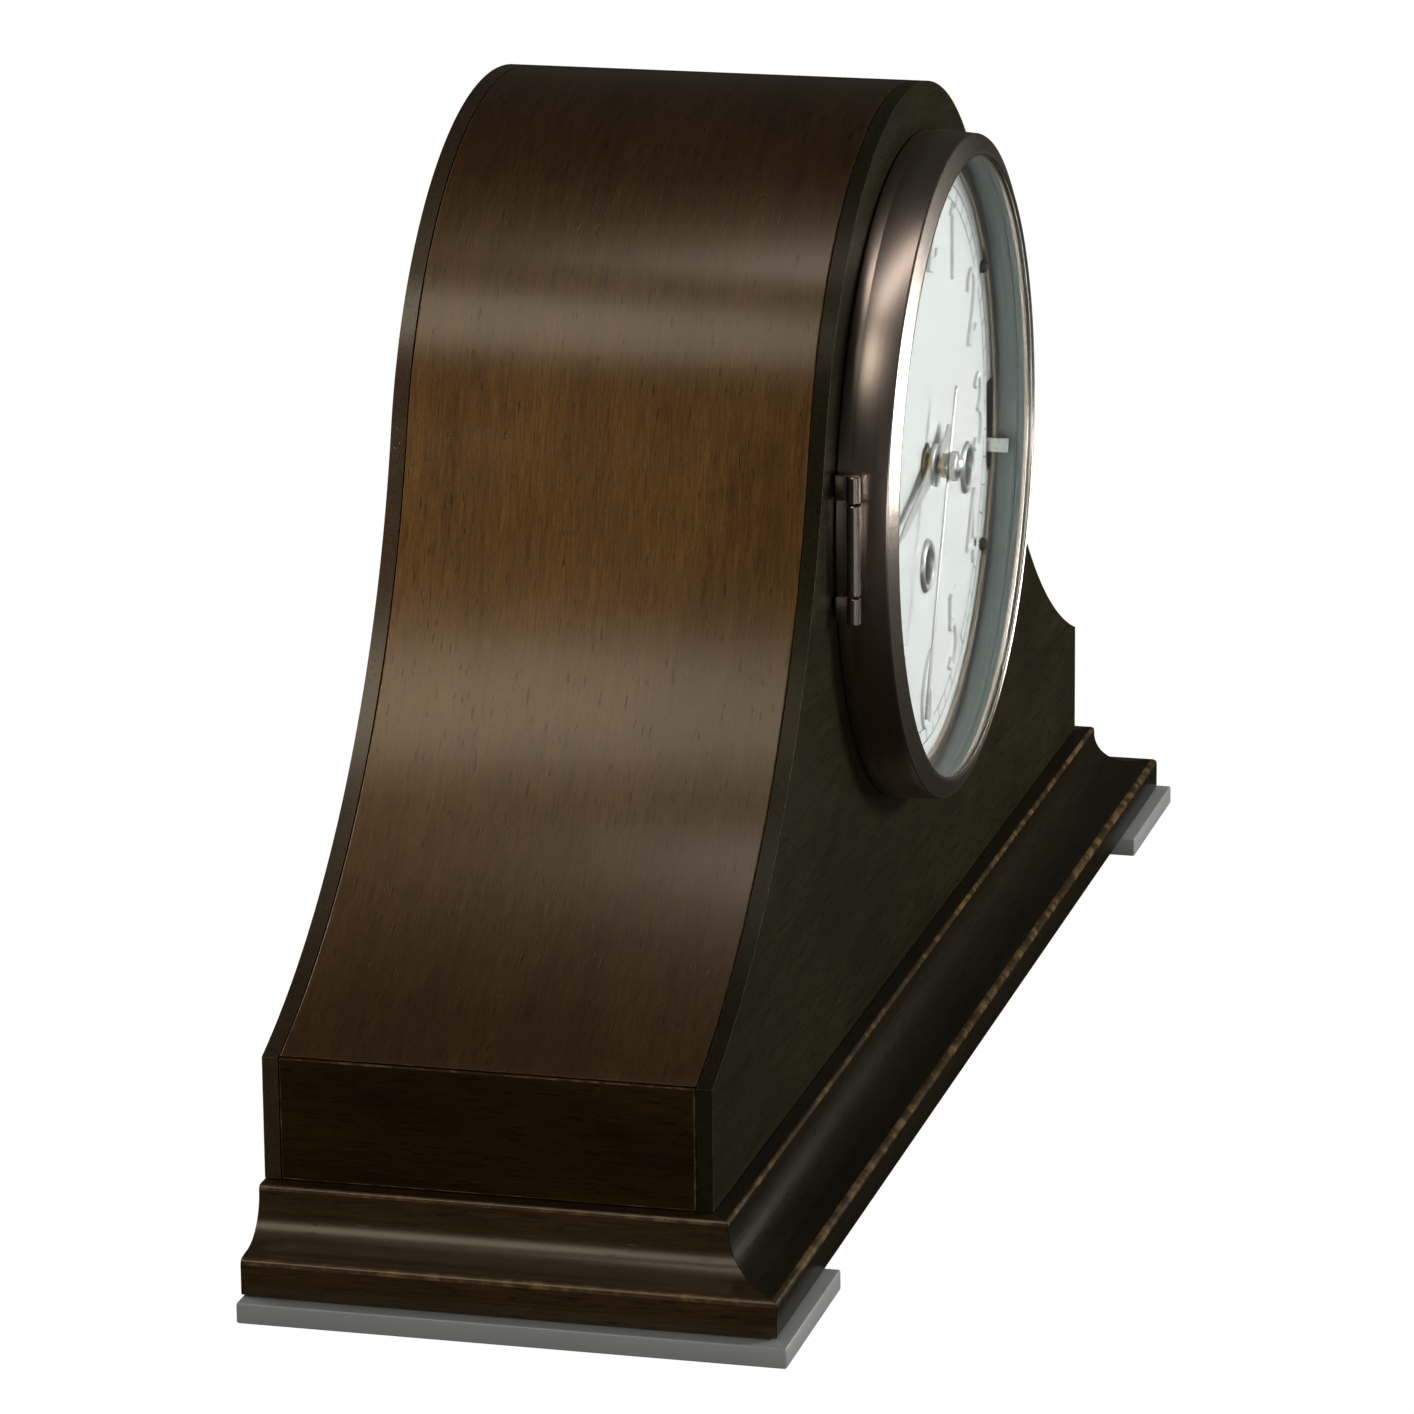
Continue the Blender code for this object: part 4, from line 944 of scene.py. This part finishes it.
def build_dial():
    loops = [dial_loop(), circle(6.6 * MM, 64)]
    for x, z in WINDERS.values():
        loops.append(circle(WINDING_HOLE, 64, x * MM, z * MM))
    for hour in SCREW_HOURS:
        turn = math.radians(90.0 - 30.0 * hour)
        loops.append(circle(1.5 * MM, 24, SCREW_CIRCLE * math.cos(turn), SCREW_CIRCLE * math.sin(turn)))
    work = outline_solid(loops, DIAL_HIGH.y - DIAL_LOW.y)
    soften(work, 0.15 * MM)
    bmesh.ops.transform(work, matrix=Matrix.Translation((0.0, DIAL_Z, 0.0)), verts=work.verts)
    face_forward(work, DIAL_HIGH.y)
    keep("dial_sheet", work, 15.0, DIAL_WHITE, "case", "white_dial", "dial_plate")
    build_numerals()
    build_track()
    for label, (x, z) in WINDERS.items():
        name = "winding_grommet_" + label
        top = (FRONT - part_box(name)[0].y) / MM
        face = (FRONT - DIAL_FACE) / MM
        section = [
            (5.6, top - 0.2), (7.2, top), (8.3, face + 0.15), (7.0, face + 0.15), (7.0, -2.0), (5.4, -2.0),
            (5.4, top - 1.1)]
        work = turned(section, 96, (x * MM, FRONT, DIAL_Z + z * MM), 0.4, 5)
        keep("grommet_" + label, work, 40.0, POLISHED, "case", "nickel", name)
    for hour in SCREW_HOURS:
        low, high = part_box("dial_screw_%d" % hour)
        x = (low.x + high.x) / 2.0
        z = (low.z + high.z) / 2.0
        base = (FRONT - DIAL_FACE) / MM + 0.2
        section = [
            (0.0, base + 2.05), (0.7, base + 1.98), (1.3, base + 1.7), (1.75, base + 1.2),
            (2.0, base + 0.5), (2.0, base), (1.2, base), (1.2, 0.4), (0.0, 0.4)]
        work = turned(section, 40, (x, FRONT, z), closed=False)
        keep("dial_screw_head_%d" % hour, work, 40.0, BLACK_STEEL, "case", "black_steel",
             "dial_screw_%d" % hour)


# ---------------------------------------------------------------- hands


def placed_hand(work, degrees, y_rear):
    """Turn a hand drawn pointing up to its time and stand it on the dial axis."""
    turn = Matrix.Rotation(math.radians(-degrees), 4, "Z")
    bmesh.ops.transform(work, matrix=Matrix.Translation((0.0, DIAL_Z, 0.0)) @ turn, verts=work.verts)
    return face_forward(work, y_rear)


def build_hands():
    hour_low, hour_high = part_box("hour_hand")
    minute_low, minute_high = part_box("minute_hand")

    def arc(radius, first, last, steps, lift=0.0):
        for k in range(steps + 1):
            turn = math.radians(first + (last - first) * k / steps)
            yield radius * math.cos(turn), lift + radius * math.sin(turn)

    flank = math.degrees(math.asin(2.3 / 6.2))
    neck = math.degrees(math.asin(2.9 / 6.2))
    hour = [(0.0, 50.0), (-1.75, 40.0), (-2.1, 19.0), (-2.7, 10.5)]
    hour += list(arc(6.2, 90.0 + neck, 270.0 - flank, 20))
    hour += list(arc(3.6, 140.0, 400.0, 28, -18.6))
    hour += list(arc(6.2, -90.0 + flank, 90.0 - neck, 20))
    hour += [(2.7, 10.5), (2.1, 19.0), (1.75, 40.0)]
    work = outline_solid([scaled(hour), circle(3.0 * MM, 48)], hour_high.y - hour_low.y)
    soften(work, 0.10 * MM)
    placed_hand(work, HOUR_TURN, hour_high.y)
    keep("hour_blade", work, 15.0, HAND_GREY, "hour_train", "grey_steel", "hour_hand")

    work = bmesh.new()
    thick = minute_high.y - minute_low.y
    rows = []
    stations = [
        (-24.0, 0.25), (-23.6, 0.62), (-22.8, 0.78), (-20.0, 0.80), (0.0, 0.95), (30.0, 0.90),
        (60.0, 0.78), (74.0, 0.68), (75.6, 0.45), (76.0, 0.15)]
    ridge = [(1.0, 0.0), (1.0, 0.45), (0.55, 0.85), (0.0, 1.0), (-0.55, 0.85), (-1.0, 0.45), (-1.0, 0.0)]
    for z, half in stations:
        row = []
        for share, lift in ridge:
            row.append(work.verts.new((half * share * MM, z * MM, lift * thick)))
        rows.append(row)
    for a, b in zip(rows, rows[1:]):
        for k in range(7):
            m = (k + 1) % 7
            work.faces.new((a[k], b[k], b[m], a[m]))
    work.faces.new(rows[0])
    work.faces.new(reversed(rows[-1]))
    bmesh.ops.recalc_face_normals(work, faces=work.faces)
    profile = [(1.52 * MM, 0.0), (3.9 * MM, 0.0), (4.1 * MM, 0.2 * MM), (3.9 * MM, thick), (1.52 * MM, thick)]
    boss = lathe(profile, 64, (0.0, 0.0, 0.0), axis="Z")
    work = merged(work, boss)
    placed_hand(work, MINUTE_TURN, minute_high.y)
    keep("minute_blade", work, 35.0, HAND_NICKEL, "minute_train", "nickel", "minute_hand")


def knurled_nut_tree():
    """Geometry Nodes: straight knurls set round the rim of the hand nut."""
    work = PieceTree("knurled_rim", "Count", "Radius", "Height", "Knurl")
    given = work.given
    around = work.node("GeometryNodeMeshCircle", {"Vertices": given["Count"], "Radius": given["Radius"]})
    rib = work.node("GeometryNodeMeshCylinder", {
        "Vertices": 8, "Radius": given["Knurl"], "Depth": given["Height"]})
    spread = work.node("GeometryNodeInstanceOnPoints", {
        "Points": around.outputs["Mesh"], "Instance": rib.outputs["Mesh"]})
    return work.done(spread.outputs["Instances"])


def build_nut():
    low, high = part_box("hand_nut")
    top = (FRONT - low.y) / MM
    base = (FRONT - high.y) / MM
    section = [(0.0, top), (1.2, top - 0.10), (2.3, top - 0.50), (3.1, top - 1.1), (3.5, top - 1.75),
               (3.75, base + 1.9), (4.2, base + 1.8), (4.3, base + 1.65), (4.3, base + 0.15), (4.15, base),
               (1.53, base), (1.53, top - 0.9), (0.0, top - 0.9)]
    cap = turned(section, 72, DIAL_AXIS, closed=False)
    inputs = {"Count": 48, "Radius": 4.3 * MM, "Height": 1.5 * MM, "Knurl": 0.18 * MM, "Paint": POLISHED}
    ribs = grown("knurls", knurled_nut_tree(), inputs, FRONT - (base + 0.9) * MM)
    keep("domed_hand_nut", merged(cap, ribs), 35.0, POLISHED, "minute_train", "nickel", "hand_nut")


def build_stack():
    """Turned collars on the hand arbors, and the bushing in the dial."""
    face = (FRONT - DIAL_FACE) / MM
    section = [
        (4.6, face + 1.0), (5.0, face + 0.7), (5.0, face - 1.3), (7.8, face - 1.3), (7.8, face - 2.3),
        (3.4, face - 2.3), (3.4, face + 1.0)]
    work = turned(section, 72, DIAL_AXIS, 0.25)
    keep("dial_bushing", work, 30.0, OLD_BRASS, "case", "brass", "centre_bushing")
    hand = (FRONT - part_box("hour_hand")[0].y) / MM
    disc = [(6.5, hand + 0.05), (6.5, hand + 0.55), (5.9, hand + 0.75), (3.1, hand + 0.8), (3.1, hand + 0.05)]
    work = turned(disc, 72, DIAL_AXIS, 0.12)
    keep("hour_hub_disc", work, 30.0, POLISHED, "hour_train", "nickel")
    hand = (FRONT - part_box("minute_hand")[1].y) / MM
    collar = [(3.65, hand - 1.55), (3.65, hand - 0.05), (2.3, hand - 0.05), (2.3, hand - 1.55)]
    work = turned(collar, 64, DIAL_AXIS, 0.25)
    keep("minute_collar", work, 30.0, OLD_BRASS, "minute_train", "brass")


def build_selector():
    """Bent sheet selector lever with its tab standing out of the dial."""
    low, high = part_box("chime_selector_lever")
    pivot = Vector((66.0 * MM, 0.0, DIAL_Z - 11.0 * MM))
    outline = []
    for i in range(33):
        turn = math.radians(60.0 + 240.0 * i / 32.0)
        outline.append((3.6 * MM * math.cos(turn), 3.6 * MM * math.sin(turn)))
    outline += [(8.0 * MM, -2.2 * MM), (20.6 * MM, -2.2 * MM), (20.6 * MM, 2.2 * MM), (8.0 * MM, 2.2 * MM)]
    arm = soften(outline_solid([outline, circle(1.55 * MM, 32)], 0.9 * MM), 0.12 * MM)
    edge = [(19.7 * MM, -2.2 * MM), (20.6 * MM, -2.2 * MM), (20.6 * MM, 2.2 * MM), (19.7 * MM, 2.2 * MM)]
    tab = soften(outline_solid([edge], high.y - low.y), 0.22 * MM, segments=3)
    work = merged(arm, tab)
    turn = Matrix.Rotation(math.radians(SELECTOR_TILT), 4, "Z")
    bmesh.ops.transform(work, matrix=turn, verts=work.verts)
    bmesh.ops.transform(work, matrix=Matrix.Translation((pivot.x, pivot.z, 0.0)), verts=work.verts)
    face_forward(work, high.y)
    keep("selector_lever", work, 30.0, POLISHED, "chime_selector", "nickel", "chime_selector_lever")


# ---------------------------------------------------------------- pieces kept from the frame


def dress_frame_nodes():
    finishes = {
        "movement_front_plate": BRASS, "movement_back_plate": BRASS, "minute_wheel": BRASS,
        "hour_wheel": BRASS, "centre_arbor": STEEL, "selector_stud": STEEL, "chime_block": IRON,
        "hammer_bracket": STEEL,
        "hammer_shaft": STEEL, "rear_hinge_frame_leaf": STEEL, "rear_hinge_door_leaf": STEEL,
        "rear_hinge_pin": STEEL, "centre_bushing": OLD_BRASS}
    for index in (1, 2, 3, 4):
        finishes["movement_pillar_%d" % index] = BRASS
    for index in (1, 2, 3):
        finishes["chime_rod_%d" % index] = STEEL
        finishes["chime_hammer_%d" % index] = BRASS
    for label in WINDERS:
        finishes["mainspring_barrel_" + label] = BRASS
        finishes["winding_arbor_" + label] = STEEL
    for name, paint in finishes.items():
        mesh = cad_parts[name].data
        mesh.materials.clear()
        mesh.materials.append(paint)


# ---------------------------------------------------------------- stage


def place_lamp(name, kind, place, aim, power, tint, **settings):
    lamp = bpy.data.lights.new(name, kind)
    lamp.energy = power
    lamp.color = tint
    for key, value in settings.items():
        setattr(lamp, key, value)
    holder = bpy.data.objects.new(name, lamp)
    bpy.context.scene.collection.objects.link(holder)
    direction = Vector(aim) - Vector(place)
    holder.matrix_world = Matrix.Translation(place) @ direction.to_track_quat("-Z", "Y").to_matrix().to_4x4()
    return holder


def softbox(name, place, aim, size, power, tint=(1.0, 1.0, 1.0), glossy=True):
    """Rectangular soft light, out of the camera's sight."""
    holder = place_lamp(
        name, "AREA", place, aim, power, tint, shape="RECTANGLE", size=size[0], size_y=size[1])
    holder.visible_camera = False
    holder.visible_glossy = glossy


def build_stage():
    paint = Finish("pale_floor", (0.22, 0.22, 0.22), 0.9)
    glow = paint.node("ShaderNodeEmission", {"Color": (1.0, 1.0, 1.0, 1.0), "Strength": 1.17}).outputs[0]
    dull = paint.node("ShaderNodeBsdfDiffuse", {"Color": (0.045, 0.042, 0.036, 1.0)}).outputs[0]
    path = paint.node("ShaderNodeLightPath").outputs
    matt = paint.mixed(path["Is Glossy Ray"], paint.shader.outputs[0], dull)
    paint.surface(paint.mixed(paint.maths("MULTIPLY", path["Is Camera Ray"], 0.86), matt, glow))
    mesh = bpy.data.meshes.new("floor")
    work = bmesh.new()
    bmesh.ops.create_grid(work, x_segments=1, y_segments=1, size=12.0)
    work.to_mesh(mesh)
    work.free()
    mesh.materials.append(paint.paint)
    floor = bpy.data.objects.new("floor", mesh)
    bpy.context.scene.collection.objects.link(floor)
    world = bpy.data.worlds.new("studio")
    bpy.context.scene.world = world
    world.use_nodes = True
    studio = NodeWork(world.node_tree)
    sky = world.node_tree.nodes["Background"]
    sky.inputs["Color"].default_value = (0.97, 1.0, 0.95, 1.0)
    sky.inputs["Strength"].default_value = 0.035
    white = studio.node("ShaderNodeBackground", {"Strength": 1.0}).outputs[0]
    seen = studio.node("ShaderNodeLightPath").outputs["Is Camera Ray"]
    shown = studio.mixed(seen, sky.outputs[0], white)
    world.node_tree.links.new(shown, world.node_tree.nodes["World Output"].inputs[0])
    softbox("key_front_right", (0.98, -2.0, 0.62), (0.0, -0.05, 0.18), (0.55, 0.45), 38.0)
    softbox("front_card", (-0.75, -1.5, 0.10), (-0.02, -0.05, 0.19), (0.9, 0.16), 3.0)
    softbox("side_fill", (-1.45, -0.85, 0.16), (-0.1, 0.0, 0.15), (0.6, 0.30), 3.5, (1.0, 0.97, 0.93))
    softbox("band_bar", (-0.86, 0.40, 1.18), (-0.1, 0.0, 0.18), (0.45, 0.36), 1.65, (1.0, 0.96, 0.86))
    softbox("hoop_card", (-0.24, 0.06, 1.40), (-0.07, -0.06, 0.25), (0.16, 0.7), 1.7, (1.0, 0.96, 0.93))
    softbox("rim_card", (0.21, -0.455, 0.165), (-0.09, -0.07, 0.22), (0.20, 0.11), 0.55)
    softbox("foot_card", (-0.55, 0.08, 0.03), (-0.26, 0.03, 0.008), (0.5, 0.03), 0.26, glossy=False)
    softbox("back_light", (0.5, 2.2, 1.1), (0.0, 0.05, 0.15), (1.2, 0.8), 26.0)
    place_lamp("side_beam", "SPOT", (-1.25, 0.90, 0.20), (-0.11, 0.105, 0.165), 50.0, (1.0, 0.93, 0.82),
               spot_size=math.radians(13.0), spot_blend=1.0, shadow_soft_size=0.05)


CAMERA_AT = Vector((-2.0467, -0.5207, 0.7077))
CAMERA_LENS = 186.2
CAMERA_TURN = (-75.42, 15.95, -0.556)


def build_camera():
    azimuth, elevation, roll = (math.radians(v) for v in CAMERA_TURN)
    back = Vector((math.sin(azimuth) * math.cos(elevation), -math.cos(azimuth) * math.cos(elevation),
                   math.sin(elevation)))
    right = Vector((0.0, 0.0, 1.0)).cross(back).normalized()
    up = back.cross(right)
    side = right * math.cos(roll) + up * math.sin(roll)
    top = up * math.cos(roll) - right * math.sin(roll)
    lens = bpy.data.cameras.new("view")
    lens.lens = CAMERA_LENS
    lens.sensor_width = 36.0
    lens.clip_end = 50.0
    camera = bpy.data.objects.new("view", lens)
    bpy.context.scene.collection.objects.link(camera)
    turn = Matrix((side, top, back)).transposed().to_4x4()
    camera.matrix_world = Matrix.Translation(CAMERA_AT) @ turn
    bpy.context.scene.camera = camera
    bpy.context.scene.view_settings.view_transform = "Standard"


build_panels()
build_sheet()
build_end_blocks()
build_mouldings()
build_feet()
build_bezel()
build_dial()
build_hands()
build_nut()
build_stack()
build_selector()
dress_frame_nodes()
build_stage()
build_camera()
bpy.context.view_layer.update()
